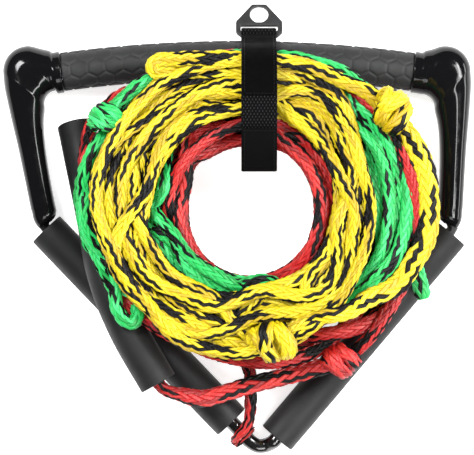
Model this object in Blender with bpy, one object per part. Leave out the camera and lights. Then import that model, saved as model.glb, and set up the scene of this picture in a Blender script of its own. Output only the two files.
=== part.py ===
"""Tow rope handle for water sports, lying flat with its rope coiled and strapped on.

Metres, +Z up. The object lies on z = 0: +X runs along the grip, +Y points from the bridle's apex
to the hanger, and the coil is on top. Each sub-part is one object with its own material.
"""

import math

import bmesh
import bpy
from mathutils import Matrix, Vector

# ---------------------------------------------------------------- driving dimensions
GAP = 0.0003                     # clearance between pieces that touch

AXIS_Z = 0.016                   # height of the grip's centre line
GRIP_TOP_Y = 0.120               # the grip's centre line at x = 0
GRIP_BEND_RADIUS = 0.92          # the bar is bowed to this radius
GRIP_RADIUS = 0.0138
GRIP_HALF_LENGTH = 0.1245
TUBE_RADIUS = 0.0110
TUBE_WALL = 0.0016
TUBE_HALF_LENGTH = 0.1440        # reaches into both arms
FOAM_HALF_LENGTH = 0.1380

LEFT_KNUCKLE_X = -0.1488         # centre of the rounded corner of each arm
RIGHT_KNUCKLE_X = 0.1480
KNUCKLE_Y = 0.1120
KNUCKLE_RADIUS = 0.0180
COLLAR_RADIUS = 0.0149
COLLAR_STATIONS = (0.1290, 0.1335)   # along the grip, between the collar's mouth and the knuckle
FILLET_RADIUS = 0.0090           # inside corner between collar and arm
FILLET_INSET = 0.0087            # from the knuckle's middle in to the fillet's edge
FILLET_RISE = 0.0020
LEFT_LEAN = math.radians(6.4)    # how far the arm tips lean in (+) or out (-)
RIGHT_LEAN = math.radians(-1.9)
ARM_STATIONS = (                 # outer: down, out; inner: down, out; half depth
    (0.010, 0.0183, 0.028, -0.0086, 0.0150),
    (0.024, 0.0170, 0.036, -0.0070, 0.0142),
    (0.038, 0.0154, 0.046, -0.0061, 0.0134),
    (0.053, 0.0136, 0.057, -0.0060, 0.0127),
    (0.068, 0.0121, 0.070, -0.0065, 0.0120),
    (0.083, 0.0107, 0.084, -0.0074, 0.0113),
    (0.097, 0.0094, 0.097, -0.0085, 0.0107),
)
ARM_TIP_DOWN = 0.1000            # where the rounded tip begins
ARM_TIP_HALF_WIDTH = 0.0089
ARM_TIP_HALF_DEPTH = 0.0104
ARM_TIP_ANGLES = (0.0, 28.0, 52.0, 72.0)
ARM_ROUNDNESS = 2.15             # superellipse exponent of the arm's section
KNOT_POCKET_DOWN = 0.066         # centre of the pocket that holds the bridle's stop knot
KNOT_POCKET_RADIUS = 0.0072
ROPE_BORE_RADIUS = 0.0046
ROPE_BORE_FLARE = (              # share of the way from the pocket to the mouth, radius
    (0.0, ROPE_BORE_RADIUS), (0.55, ROPE_BORE_RADIUS), (0.8, 0.0056), (0.93, 0.0068),
    (1.0, 0.0078),
)
BORE_BEYOND_TIP = 0.0020

BRIDLE_RADIUS = 0.0038           # bridle rope
SHEATH_RADIUS = 0.0052           # vinyl sleeve over the bridle's apex
SHEATH_BORE = 0.0044
SHEATH_HIDDEN_RISE = 0.018       # the sheath runs this far up inside the floats
BRIDLE_POINTS = 80
FLOAT_RADIUS = 0.0135
FLOAT_BORE = 0.0058
FLOAT_Z = 0.0136
APEX_Z = 0.0095
LEFT_FLOAT_ENDS = ((-0.1363, -0.0003), (-0.0042, -0.1379))
RIGHT_FLOAT_ENDS = ((0.1517, -0.0032), (0.0280, -0.1493))
STRAIGHT_BEYOND_FLOAT = 0.0060   # the bridle stays straight this far past each float
STRAIGHT_BEFORE_FOLD = 0.0030    # on the right it turns into the apex's fold sooner
APEX_POINTS = ((0.0043, -0.1469), (0.0090, -0.1519), (0.0148, -0.1552), (0.0210, -0.1545))

ROPE_RADIUS = 0.00475            # braided main line
MAIN_FLOAT_BORE = 0.0067
MAIN_FLOAT_ROOM = 0.0012         # clearance of the coil round the main float
MAIN_FLOAT_ROUTE = (             # centre line, from the boat end to the end over the left float
    (-0.1150, 0.0743, 0.0140),
    (-0.1012, 0.0100, 0.0300),
    (-0.0935, -0.0300, 0.0395),
    (-0.0780, -0.0700, 0.0435),
    (-0.0556, -0.1093, 0.0445),
)
FLOAT_LEAD_ROUTE = (             # from the main float to the red knot
    (-0.0400, -0.1170, 0.0440),
    (-0.0240, -0.1200, 0.0415),
    (-0.0080, -0.1160, 0.0395),
    (0.0110, -0.1100, 0.0385),
    (0.0300, -0.1055, 0.0390),
    (0.0480, -0.1010, 0.0400),
    (0.0570, -0.0985, 0.0405),
)
RED_LEAD_ROUTE = (               # from the hitch at the apex up to the coil's underside
    (0.0088, -0.1366, 0.0240),
    (0.0094, -0.1260, 0.0262),
    (0.0096, -0.1110, 0.0275),
    (0.0098, -0.0960, 0.0288),
    (0.0100, -0.0840, 0.0295),
)
GREEN_TAIL_ROUTE = (             # short free end over the right float
    (0.1215, -0.0270, 0.0332),
    (0.1270, -0.0330, 0.0332),
    (0.1305, -0.0410, 0.0328),
    (0.1320, -0.0500, 0.0318),
)
END_KNOT_DEPTH = 0.012           # the line's end knot sits this far inside the main float
END_KNOT_RADIUS = 0.0058

COIL_CENTRE = (0.0110, 0.0150)
COIL_HOLE_RADIUS = 0.0440
COIL_HALF_WIDTH = 0.1300
COIL_HALF_HEIGHT = 0.1100
COIL_MID_Z = 0.0563
COIL_HALF_DEPTH = 0.0248
COIL_ROUNDNESS = 2.5             # superellipse exponent of the coil's section
COIL_STEPS = 48
COIL_COLOUR_GAP = 0.008          # half the gap between the colours, as a share of the section

KNOTS = {                        # centre, half sizes
    "yellow_knot_upper": ((0.1066, 0.0825, 0.0765), (0.0145, 0.0135, 0.0095)),
    "yellow_knot_lower": ((0.0231, -0.0797, 0.0805), (0.0160, 0.0140, 0.0095)),
    "green_knot": ((-0.0930, 0.0761, 0.0680), (0.0115, 0.0130, 0.0095)),
    "red_knot": ((0.0720, -0.0945, 0.0420), (0.0125, 0.0120, 0.0100)),
    "red_hitch": ((0.0060, -0.1462, 0.0236), (0.0070, 0.0088, 0.0052)),
}

STRAP_X = 0.0152                 # the strap's middle
STRAP_HALF_WIDTH = 0.0125
WEB_THICKNESS = 0.0016
PATCH_THICKNESS = 0.0008
BAR_CENTRE = (0.1384, 0.0113)    # (y, z) of the hanger's bar, the hinge line
BAR_WRAP_RADIUS = 0.0039         # the webbing's middle round the bar
HANGER_TILT = math.radians(-23.6)
STRAP_FRONT_ROUTE = (            # (y, z) from the bar over the grip and the coil to the fold
    (0.1348, 0.0210), (0.1314, 0.0320), (0.1288, 0.0450), (0.1276, 0.0570),
    (0.1245, 0.0690), (0.1170, 0.0785), (0.1060, 0.0832), (0.0920, 0.0846),
    (0.0780, 0.0839), (0.0660, 0.0812), (0.0560, 0.0765), (0.0480, 0.0705),
    (0.0422, 0.0640),
)
STRAP_BACK_ROUTE = (             # (y, z) from the fold under the coil to the grip
    (0.0418, 0.0600), (0.0440, 0.0545), (0.0490, 0.0460), (0.0540, 0.0375),
    (0.0600, 0.0318), (0.0680, 0.0293), (0.0780, 0.0284), (0.0880, 0.0262),
    (0.0970, 0.0200),
)
GRIP_WRAP_RADIUS = 0.0151        # the webbing's middle round the grip
PATCH_RANGE = (0.0925, 0.1345)   # y of the smooth patch on the strap's front
PATCH_LOWEST = 0.0220
PATCH_INSET = 0.0006             # the patches are a little narrower than the webbing
TAB_RANGE = (0.0423, 0.0709)     # y of the closing tab, from its hinge line
HOOK_RANGE = (0.0425, 0.0696)

HANGER_THICKNESS = 0.0030
HANGER_BEVEL = 0.0005
HANGER_SHIFT = 0.0003            # the plate's middle, beside the strap's middle
HANGER_OUTLINE = (               # half of the plate: across, up from the bar's centre
    (0.0126, -0.0024), (0.0162, 0.0012), (0.0162, 0.0085), (0.0046, 0.0236),
)
SLOT_HALF_WIDTH = 0.0133
SLOT_RANGE = (0.0024, 0.0058)
HANG_HOLE_RADIUS = 0.0066
HANG_HOLE_UP = 0.0151
HANG_HOLE_FLAT = 0.0059          # the hole's flat lower side, below its centre

COLOURS = {                      # base colour, roughness, metallic
    "grip_rubber": ((0.024, 0.024, 0.026), 0.75, 0.0),
    "arm_plastic": ((0.006, 0.006, 0.007), 0.12, 0.0),
    "aluminium": ((0.75, 0.76, 0.78), 0.30, 1.0),
    "core_foam": ((0.80, 0.79, 0.74), 0.90, 0.0),
    "float_foam": ((0.036, 0.036, 0.038), 0.62, 0.0),
    "vinyl": ((0.006, 0.006, 0.007), 0.18, 0.0),
    "bridle_cord": ((0.015, 0.015, 0.015), 0.60, 0.0),
    "yellow_rope": ((0.95, 0.78, 0.02), 0.40, 0.0),
    "green_rope": ((0.02, 0.62, 0.13), 0.40, 0.0),
    "red_rope": ((0.72, 0.03, 0.02), 0.40, 0.0),
    "webbing": ((0.012, 0.012, 0.013), 0.80, 0.0),
    "hook_and_loop": ((0.016, 0.016, 0.017), 0.90, 0.0),
    "hanger_plastic": ((0.040, 0.040, 0.042), 0.38, 0.0),
}
UP = Vector((0.0, 0.0, 1.0))


# ---------------------------------------------------------------- helpers
def material(slot):
    found = bpy.data.materials.get(slot)
    if found:
        return found
    colour, roughness, metallic = COLOURS[slot]
    made = bpy.data.materials.new(slot)
    made.use_nodes = True
    shader = made.node_tree.nodes["Principled BSDF"]
    shader.inputs["Base Color"].default_value = (*colour, 1.0)
    shader.inputs["Roughness"].default_value = roughness
    shader.inputs["Metallic"].default_value = metallic
    made.diffuse_color = (*colour, 1.0)
    return made


def new_object(name, data, slot):
    made = bpy.data.objects.new(name, data)
    bpy.context.collection.objects.link(made)
    data.materials.append(material(slot))
    return made


def from_bmesh(name, bm, slot, sharp_angle=40.0):
    bmesh.ops.recalc_face_normals(bm, faces=bm.faces)
    mesh = bpy.data.meshes.new(name)
    bm.to_mesh(mesh)
    bm.free()
    mesh.shade_smooth()
    mesh.set_sharp_from_angle(angle=math.radians(sharp_angle))
    return new_object(name, mesh, slot)


def smooth_points(points, count):
    """Points evenly spaced along a Catmull-Rom curve through the given points."""
    knots = [Vector(p) for p in points]
    knots = [knots[0] * 2 - knots[1], *knots, knots[-1] * 2 - knots[-2]]
    fine = []
    for a, b, c, d in zip(knots, knots[1:], knots[2:], knots[3:]):
        for step in range(16):
            t = step / 16
            fine.append(0.5 * (2 * b + (c - a) * t + (2 * a - 5 * b + 4 * c - d) * t * t
                               + (3 * b - a - 3 * c + d) * t ** 3))
    fine.append(knots[-2])
    lengths = [0.0]
    for a, b in zip(fine, fine[1:]):
        lengths.append(lengths[-1] + (b - a).length)
    result = []
    index = 0
    for step in range(count):
        want = lengths[-1] * step / (count - 1)
        while index < len(fine) - 2 and lengths[index + 1] < want:
            index += 1
        span = lengths[index + 1] - lengths[index]
        result.append(fine[index].lerp(fine[index + 1], (want - lengths[index]) / span))
    return result


def directions(points):
    ends = [points[0] * 2 - points[1], *points, points[-1] * 2 - points[-2]]
    return [(after - before).normalized() for before, after in zip(ends, ends[2:])]


def ring(centre, across, up, radius_across, radius_up, sides, roundness=2.0):
    """Points of a superellipse about centre in the plane of across and up."""
    power = 2.0 / roundness
    points = []
    for side in range(sides):
        angle = 2 * math.pi * side / sides
        c = math.cos(angle)
        s = math.sin(angle)
        points.append(centre + across * (radius_across * math.copysign(abs(c) ** power, c))
                      + up * (radius_up * math.copysign(abs(s) ** power, s)))
    return points


def path_rings(points, radius, sides):
    rings = []
    for point, along in zip(points, directions(points)):
        across = UP.cross(along).normalized()
        rings.append(ring(point, across, along.cross(across), radius, radius, sides))
    return rings


def loft(rings, closed=False):
    """A bmesh skin through rings of equal size: capped, or joined end to end."""
    bm = bmesh.new()
    made = [[bm.verts.new(p) for p in points] for points in rings]
    pairs = list(zip(made, made[1:]))
    if closed:
        pairs.append((made[-1], made[0]))
    for lower, upper in pairs:
        for index in range(len(lower)):
            following = (index + 1) % len(lower)
            bm.faces.new((lower[index], lower[following], upper[following], upper[index]))
    if not closed:
        bm.faces.new(made[0])
        bm.faces.new(made[-1])
    return bm


def hollow(points, outer, inner, sides):
    """A tube with a bore along a path: its skin runs out along the wall and back along the bore."""
    return loft(path_rings(points, outer, sides) + path_rings(points, inner, sides)[::-1], True)


def cut(target, cutter_bm, name):
    """Takes a closed cutter away from an object with an exact Boolean that stays on it."""
    cutter = from_bmesh(name, cutter_bm, "core_foam")
    cutter.hide_render = True
    cutter.display_type = "WIRE"
    modifier = target.modifiers.new(name, "BOOLEAN")
    modifier.operation = "DIFFERENCE"
    modifier.object = cutter
    return cutter


def ellipsoid(centre, radii, segments=14, rings=9):
    bm = bmesh.new()
    bmesh.ops.create_uvsphere(bm, u_segments=segments, v_segments=rings, radius=1.0)
    bmesh.ops.transform(bm, matrix=Matrix.Translation(centre) @ Matrix.Diagonal((*radii, 1.0)),
                        verts=bm.verts)
    return bm


def rope_tube(name, route, slot, count):
    return tube_through(name, smooth_points(route, count), slot, ROPE_RADIUS)


def tube_through(name, points, slot, radius):
    curve = bpy.data.curves.new(name, "CURVE")
    curve.dimensions = "3D"
    curve.bevel_depth = radius
    curve.bevel_resolution = 2
    curve.use_fill_caps = True
    spline = curve.splines.new("POLY")
    spline.points.add(len(points) - 1)
    for place, point in zip(spline.points, points):
        place.co = (*point, 1.0)
    return new_object(name, curve, slot)


# ---------------------------------------------------------------- grip bar
def grip_point(x):
    return Vector((x, GRIP_TOP_Y - x * x / (2 * GRIP_BEND_RADIUS), AXIS_Z))


def grip_path(half_length, steps):
    return [grip_point(half_length * (2 * i / steps - 1)) for i in range(steps + 1)]


def build_grip():
    tube = hollow(grip_path(TUBE_HALF_LENGTH, 10), TUBE_RADIUS, TUBE_RADIUS - TUBE_WALL, 20)
    from_bmesh("handle_tube", tube, "aluminium")
    foam = loft(path_rings(grip_path(FOAM_HALF_LENGTH, 8), TUBE_RADIUS - TUBE_WALL - GAP, 14))
    from_bmesh("tube_foam_core", foam, "core_foam")
    sleeve = hollow(grip_path(GRIP_HALF_LENGTH, 12), GRIP_RADIUS, TUBE_RADIUS + GAP, 24)
    from_bmesh("grip_sleeve", sleeve, "grip_rubber")


# ---------------------------------------------------------------- arms
def knuckle_centre(side):
    return Vector((RIGHT_KNUCKLE_X if side > 0 else LEFT_KNUCKLE_X, KNUCKLE_Y, AXIS_Z))


def arm_axes(side, lean):
    down = Vector((-side * math.sin(lean), -math.cos(lean), 0.0))
    out = Vector((side * math.cos(lean), -math.sin(lean), 0.0))
    return down, out


def arm_rings(side, lean):
    """Ribs from the collar's mouth round the knuckle and down to the rounded tip."""
    knuckle = knuckle_centre(side)
    down, out = arm_axes(side, lean)
    ribs = []
    for x in (GRIP_HALF_LENGTH + GAP, *COLLAR_STATIONS):
        centre = grip_point(side * x)
        normal = Vector((side * x / GRIP_BEND_RADIUS, 1.0, 0.0)).normalized()
        ribs.append((centre + normal * COLLAR_RADIUS, centre - normal * COLLAR_RADIUS,
                     COLLAR_RADIUS))
    inner_corner = knuckle - out * (FILLET_INSET + FILLET_RADIUS)
    inner_corner += down * (COLLAR_RADIUS + FILLET_RADIUS - FILLET_RISE)
    for step in range(6):
        angle = math.radians(6 + 84 * step / 5)
        toward = out * math.sin(angle) - down * math.cos(angle)
        inner = inner_corner + toward * FILLET_RADIUS
        depth = COLLAR_RADIUS + (AXIS_Z - COLLAR_RADIUS) * math.sin(2 * angle)
        ribs.append((knuckle + toward * KNUCKLE_RADIUS, inner, depth))
    for outer_down, outer_out, inner_down, inner_out, depth in ARM_STATIONS:
        ribs.append((knuckle + down * outer_down + out * outer_out,
                     knuckle + down * inner_down + out * inner_out, depth))
    for angle in ARM_TIP_ANGLES:
        turn = math.radians(angle)
        centre = knuckle + down * (ARM_TIP_DOWN + ARM_TIP_HALF_WIDTH * math.sin(turn))
        half = out * (ARM_TIP_HALF_WIDTH * math.cos(turn))
        ribs.append((centre + half, centre - half, ARM_TIP_HALF_DEPTH * math.cos(turn)))
    rings = []
    for outer, inner, depth in ribs:
        middle = (outer + inner) / 2
        across = outer - inner
        rings.append(ring(middle, across.normalized(), UP, across.length / 2, depth, 20,
                          ARM_ROUNDNESS))
    return rings


def arm_middle(side, lean, distance):
    """Point on the arm's middle, at a distance below the knuckle."""
    knuckle = knuckle_centre(side)
    down, out = arm_axes(side, lean)
    stations = [((s[0] + s[2]) / 2, (s[1] + s[3]) / 2) for s in ARM_STATIONS]
    stations.append((ARM_TIP_DOWN, 0.0))
    for (a, offset_a), (b, offset_b) in zip(stations, stations[1:]):
        if a <= distance <= b:
            part = (distance - a) / (b - a)
            return knuckle + down * distance + out * (offset_a + (offset_b - offset_a) * part)
    return knuckle + down * distance


def trumpet(start, mouth):
    """The rope's bore, straight and then flared at the tip so that the rope can bend out of it."""
    along = (mouth - start).normalized()
    across = UP.cross(along).normalized()
    return loft([ring(start.lerp(mouth, part), across, UP, radius, radius, 14)
                 for part, radius in ROPE_BORE_FLARE])


def build_arm(name, side, lean):
    """One arm with its socket, rope bore and stop knot. Returns where the bridle rope starts."""
    arm = from_bmesh(name, loft(arm_rings(side, lean)), "arm_plastic", 35.0)
    socket_start = GRIP_HALF_LENGTH - COLLAR_RADIUS / 3
    socket_end = TUBE_HALF_LENGTH + GAP
    socket_path = [grip_point(side * (socket_start + (socket_end - socket_start) * i / 3))
                   for i in range(4)]
    cut(arm, loft(path_rings(socket_path, TUBE_RADIUS + GAP, 20)), name + "_socket")
    pocket = arm_middle(side, lean, KNOT_POCKET_DOWN)
    mouth = arm_middle(side, lean, ARM_TIP_DOWN + ARM_TIP_HALF_WIDTH + BORE_BEYOND_TIP)
    cut(arm, trumpet(pocket, mouth), name + "_rope_bore")
    cut(arm, ellipsoid(pocket, [KNOT_POCKET_RADIUS] * 3, 12, 8), name + "_knot_pocket")
    knot_radius = KNOT_POCKET_RADIUS - 2 * GAP
    side_name = name.split("_")[0]
    from_bmesh(side_name + "_stop_knot", ellipsoid(pocket, [knot_radius] * 3, 12, 8),
               "bridle_cord")
    return pocket + (mouth - pocket).normalized() * (knot_radius + GAP)


# ---------------------------------------------------------------- bridle and floats
def at_height(points, height):
    return [Vector((x, y, height)) for x, y in points]


def build_bridle(left_start, right_start):
    left_top, left_low = at_height(LEFT_FLOAT_ENDS, FLOAT_Z)
    right_top, right_low = at_height(RIGHT_FLOAT_ENDS, FLOAT_Z)
    left_down = (left_low - left_top).normalized()
    right_down = (right_low - right_top).normalized()
    apex = at_height(APEX_POINTS, APEX_Z)
    left_exit = arm_middle(-1, LEFT_LEAN, ARM_TIP_DOWN + ARM_TIP_HALF_WIDTH)
    right_exit = arm_middle(1, RIGHT_LEAN, ARM_TIP_DOWN + ARM_TIP_HALF_WIDTH)
    route = [left_start, left_start.lerp(left_exit, 0.5), left_exit,
             left_top + left_down * STRAIGHT_BEYOND_FLOAT, left_top.lerp(left_low, 0.5), left_low,
             left_low + left_down * STRAIGHT_BEYOND_FLOAT, *apex,
             right_low + right_down * STRAIGHT_BEFORE_FOLD, right_low,
             right_low.lerp(right_top, 0.5), right_top + right_down * STRAIGHT_BEYOND_FLOAT,
             right_exit, right_start.lerp(right_exit, 0.5), right_start]
    points = smooth_points(route, BRIDLE_POINTS)
    tube_through("bridle_rope", points, "bridle_cord", BRIDLE_RADIUS)
    sheathed = [p for p in points if p.y < left_low.y + SHEATH_HIDDEN_RISE]
    from_bmesh("apex_sheath", hollow(sheathed, SHEATH_RADIUS, SHEATH_BORE, 14), "vinyl")
    for name, top, low in (("left_float", left_top, left_low),
                           ("right_float", right_top, right_low)):
        steps = [top.lerp(low, i / 2) for i in range(3)]
        from_bmesh(name, hollow(steps, FLOAT_RADIUS, FLOAT_BORE, 24), "float_foam")


def main_float_path():
    return smooth_points(MAIN_FLOAT_ROUTE, 9)


def build_main_float():
    path = main_float_path()
    from_bmesh("main_float", hollow(path, FLOAT_RADIUS, MAIN_FLOAT_BORE, 20), "float_foam")
    inward = (path[1] - path[0]).normalized()
    knot = path[0] + inward * END_KNOT_DEPTH
    from_bmesh("float_end_knot", ellipsoid(knot, [END_KNOT_RADIUS] * 3), "red_rope", 60.0)
    lead_start = knot + inward * (END_KNOT_RADIUS + GAP)
    rope_tube("float_lead", [lead_start, *MAIN_FLOAT_ROUTE[1:], *FLOAT_LEAD_ROUTE], "red_rope",
              count=44)


# ---------------------------------------------------------------- coil, knots and leads
def coil_radius(angle):
    c = math.cos(angle) / COIL_HALF_WIDTH
    s = math.sin(angle) / COIL_HALF_HEIGHT
    return 1 / math.sqrt(c * c + s * s)


def section_point(angle_degrees):
    """Unit superellipse point of the coil's section: across and up, from -1 to 1."""
    angle = math.radians(angle_degrees)
    power = 2.0 / COIL_ROUNDNESS
    c = math.cos(angle)
    s = math.sin(angle)
    return (math.copysign(abs(c) ** power, c), math.copysign(abs(s) ** power, s))


def coil_ring(outline):
    """A closed ring whose section, given in unit coordinates, follows the oval coil round."""
    rings = []
    for step in range(COIL_STEPS):
        angle = 2 * math.pi * step / COIL_STEPS
        outer = coil_radius(angle)
        middle = (outer + COIL_HOLE_RADIUS) / 2
        half = (outer - COIL_HOLE_RADIUS) / 2
        toward = Vector((math.cos(angle), math.sin(angle), 0.0))
        centre = Vector((*COIL_CENTRE, COIL_MID_Z))
        rings.append([centre + toward * (middle + half * u) + UP * (COIL_HALF_DEPTH * w)
                      for u, w in outline])
    return loft(rings, True)


def build_coils():
    small = COIL_COLOUR_GAP
    top = [section_point(a) for a in (4, 20, 40, 60, 78, 102, 120, 140, 160, 176)]
    yellow = [(1.0, small), *[(u, w + small) for u, w in top[1:-1]], (-1.0, small)]
    outer_low = [section_point(a) for a in (-20, -40, -60, -78)]
    inner_low = [section_point(a) for a in (-102, -120, -140, -160)]
    green = [(1.0, -small), *outer_low, (small, -1.0), (small, -small)]
    red = [(-small, -small), (-small, -1.0), *inner_low, (-1.0, -small)]
    rings = {"yellow_coil": (yellow, "yellow_rope"), "green_coil": (green, "green_rope"),
             "red_coil": (red, "red_rope")}
    made = {name: from_bmesh(name, coil_ring(outline), slot, 60.0)
            for name, (outline, slot) in rings.items()}
    float_room = loft(path_rings(main_float_path(), FLOAT_RADIUS + MAIN_FLOAT_ROOM, 16))
    cut(made["green_coil"], float_room, "green_coil_float_room")
    for ring_name, knots in (("yellow_coil", ("yellow_knot_upper", "yellow_knot_lower",
                                              "green_knot")),
                             ("green_coil", ("green_knot", "red_knot"))):
        for knot in knots:
            centre, radii = KNOTS[knot]
            room = ellipsoid(centre, [r + 2 * GAP for r in radii])
            cut(made[ring_name], room, ring_name + "_room_for_" + knot)
    for name, (centre, radii) in KNOTS.items():
        slot = name.split("_")[0] + "_rope"
        from_bmesh(name, ellipsoid(centre, radii), slot, 60.0)
    rope_tube("red_lead", RED_LEAD_ROUTE, "red_rope", count=12)
    rope_tube("green_tail", GREEN_TAIL_ROUTE, "green_rope", count=8)


# ---------------------------------------------------------------- strap and hanger
def circle_points(centre, radius, start, end, steps):
    angles = [math.radians(start + (end - start) * i / steps) for i in range(steps + 1)]
    return [(centre[0] + radius * math.cos(a), centre[1] + radius * math.sin(a)) for a in angles]


def ribbon(route, half_width, thickness, lift=0.0):
    """A flat band whose middle follows (y, z) points, lifted off them to the band's upper side."""
    points = [Vector((STRAP_X, y, z)) for y, z in route]
    rings = []
    for point, along in zip(points, directions(points)):
        normal = Vector((1.0, 0.0, 0.0)).cross(along)
        middle = point - normal * lift
        side = Vector((half_width, 0.0, 0.0))
        up = normal * (thickness / 2)
        rings.append([middle - side - up, middle + side - up, middle + side + up,
                      middle - side + up])
    return loft(rings)


def strap_front_route():
    tilt = math.degrees(HANGER_TILT)
    return circle_points(BAR_CENTRE, BAR_WRAP_RADIUS, tilt + 2, 100, 6) + list(STRAP_FRONT_ROUTE)


def strap_back_route():
    grip = (grip_point(STRAP_X).y, AXIS_Z)
    tilt = math.degrees(HANGER_TILT)
    return (list(STRAP_BACK_ROUTE) + circle_points(grip, GRIP_WRAP_RADIUS, 206, 292, 7)
            + circle_points(BAR_CENTRE, BAR_WRAP_RADIUS, -100, tilt - 9, 4))


def smooth_route(route, count):
    points = smooth_points([(0.0, y, z) for y, z in route], count)
    return [(p.y, p.z) for p in points]


def route_between(route, low_y, high_y):
    return [(y, z) for y, z in route if low_y <= y <= high_y]


def build_strap():
    front = smooth_route(strap_front_route(), 56)
    from_bmesh("strap_front", ribbon(front, STRAP_HALF_WIDTH, WEB_THICKNESS), "webbing")
    back = smooth_route(strap_back_route(), 48)
    from_bmesh("strap_back", ribbon(back, STRAP_HALF_WIDTH, WEB_THICKNESS), "webbing")
    lift = WEB_THICKNESS / 2 + GAP + PATCH_THICKNESS / 2
    patch = [p for p in route_between(front, *PATCH_RANGE) if p[1] > PATCH_LOWEST]
    patch_band = ribbon(patch, STRAP_HALF_WIDTH - PATCH_INSET, PATCH_THICKNESS, lift)
    from_bmesh("strap_patch", patch_band, "hook_and_loop")
    hook = ribbon(route_between(front, *HOOK_RANGE), STRAP_HALF_WIDTH - PATCH_INSET,
                  PATCH_THICKNESS, lift)
    from_bmesh("tab_hook_patch", hook, "hook_and_loop")
    tab_lift = lift + PATCH_THICKNESS / 2 + GAP + WEB_THICKNESS / 2
    tab = ribbon(route_between(front, *TAB_RANGE), STRAP_HALF_WIDTH, WEB_THICKNESS, tab_lift)
    from_bmesh("strap_tab", tab, "webbing")


def hanger_frame():
    """Places the plate's own axes (across, up the plate, through it) at the tilted bar."""
    up = Vector((0.0, math.cos(HANGER_TILT), math.sin(HANGER_TILT)))
    through = Vector((1.0, 0.0, 0.0)).cross(up)
    matrix = Matrix((Vector((1.0, 0.0, 0.0)), up, through)).transposed().to_4x4()
    matrix.translation = Vector((STRAP_X + HANGER_SHIFT, *BAR_CENTRE))
    return matrix


def plate(outline, thickness):
    low = [Vector((x, y, -thickness / 2)) for x, y in outline]
    high = [Vector((x, y, thickness / 2)) for x, y in outline]
    return loft([low, high])


def build_hanger():
    outline = list(HANGER_OUTLINE) + [(-x, y) for x, y in reversed(HANGER_OUTLINE)]
    bm = plate(outline, HANGER_THICKNESS)
    bmesh.ops.bevel(bm, geom=bm.edges[:], offset=HANGER_BEVEL, segments=1, affect="EDGES")
    hanger = from_bmesh("hanger", bm, "hanger_plastic", 25.0)
    slot_low, slot_high = SLOT_RANGE
    slot = plate([(-SLOT_HALF_WIDTH, slot_low), (SLOT_HALF_WIDTH, slot_low),
                  (SLOT_HALF_WIDTH, slot_high), (-SLOT_HALF_WIDTH, slot_high)], 0.02)
    flat_angle = math.asin(HANG_HOLE_FLAT / HANG_HOLE_RADIUS)
    hole_points = []
    steps = 22
    for step in range(steps + 1):
        angle = -flat_angle + (math.pi + 2 * flat_angle) * step / steps
        hole_points.append((HANG_HOLE_RADIUS * math.cos(angle),
                            HANG_HOLE_UP + HANG_HOLE_RADIUS * math.sin(angle)))
    cutters = [cut(hanger, slot, "hanger_slot"), cut(hanger, plate(hole_points, 0.02), "hang_hole")]
    for piece in (hanger, *cutters):
        piece.matrix_world = hanger_frame()


# ---------------------------------------------------------------- the whole object
def main():
    for old in list(bpy.data.objects):
        bpy.data.objects.remove(old, do_unlink=True)
    build_grip()
    left_start = build_arm("left_arm", -1, LEFT_LEAN)
    right_start = build_arm("right_arm", 1, RIGHT_LEAN)
    build_bridle(left_start, right_start)
    build_main_float()
    build_coils()
    build_strap()
    build_hanger()


main()
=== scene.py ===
"""The looks of the tow rope handle: braided line, foam, rubber, moulded plastic and webbing.

Metres, +Z up, in the frame of the CAD model: +X runs along the grip, +Y points to the hanger.
"""

import math

import bmesh
import bpy
import numpy as np
from mathutils import Matrix, Vector
from mathutils.bvhtree import BVHTree


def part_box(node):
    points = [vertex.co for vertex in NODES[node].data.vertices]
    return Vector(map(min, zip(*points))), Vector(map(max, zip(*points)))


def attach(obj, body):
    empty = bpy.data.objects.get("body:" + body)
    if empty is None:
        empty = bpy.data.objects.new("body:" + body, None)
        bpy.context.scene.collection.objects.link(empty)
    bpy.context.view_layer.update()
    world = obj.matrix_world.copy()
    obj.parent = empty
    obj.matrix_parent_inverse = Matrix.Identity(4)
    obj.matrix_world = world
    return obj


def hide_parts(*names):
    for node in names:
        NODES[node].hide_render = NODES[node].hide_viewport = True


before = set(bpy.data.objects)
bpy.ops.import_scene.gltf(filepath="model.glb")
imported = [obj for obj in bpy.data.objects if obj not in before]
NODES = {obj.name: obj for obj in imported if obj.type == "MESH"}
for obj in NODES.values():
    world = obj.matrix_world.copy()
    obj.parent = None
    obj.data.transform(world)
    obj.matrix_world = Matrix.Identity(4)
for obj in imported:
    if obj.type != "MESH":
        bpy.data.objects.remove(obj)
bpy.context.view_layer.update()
UP = np.array((0.0, 0.0, 1.0))

# ---------------------------------------------------------------- the line's dimensions
HALF_WIDTH = 0.0048              # it lies a little flattened
HALF_THICKNESS = 0.0033
STRANDS = 10                     # strands that turn each way round the braid
PITCH = 0.084                    # length in which a strand goes once round
SIDES = 2 * STRANDS              # mesh points round the rope, two for each strand
RING_STEP = PITCH / (4 * STRANDS)
RELIEF = 0.00105                 # height of a strand's crown over the grooves
MEAN_CROWN = 0.6                 # share of the relief that lies inside the rope's own outline
FUZZ = 0.00005                   # random height of single points
TWIST = (160, 0.9)               # how the braid turns along the rope: wavelength in rings, radians
END_TAPER = 0.003                # length over which a rope's ends narrow
STEEP = 0.35                     # a run with a smaller level share keeps its last sideways direction

COIL_CENTRE = np.array((0.0110, 0.0150))
COIL_BASE = 0.0312               # underside of the coil, on the grip and the floats
COIL_TOP = 0.0835
SAMPLE = 0.0025                  # spacing of the points while a rope is laid
START_LENGTH = 0.09              # along this the red and green ropes' starts differ from the rest
WIDTH_WANDER = (40, 0.0004)      # wavelength in samples, and amount
ROLL_WANDER = (34, 0.30)
LEAST_THICKNESS = 0.7            # share of its thickness that a squeezed rope keeps
WIDENED = 0.0022                 # extra half width of the flat stretch of the yellow rope

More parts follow.
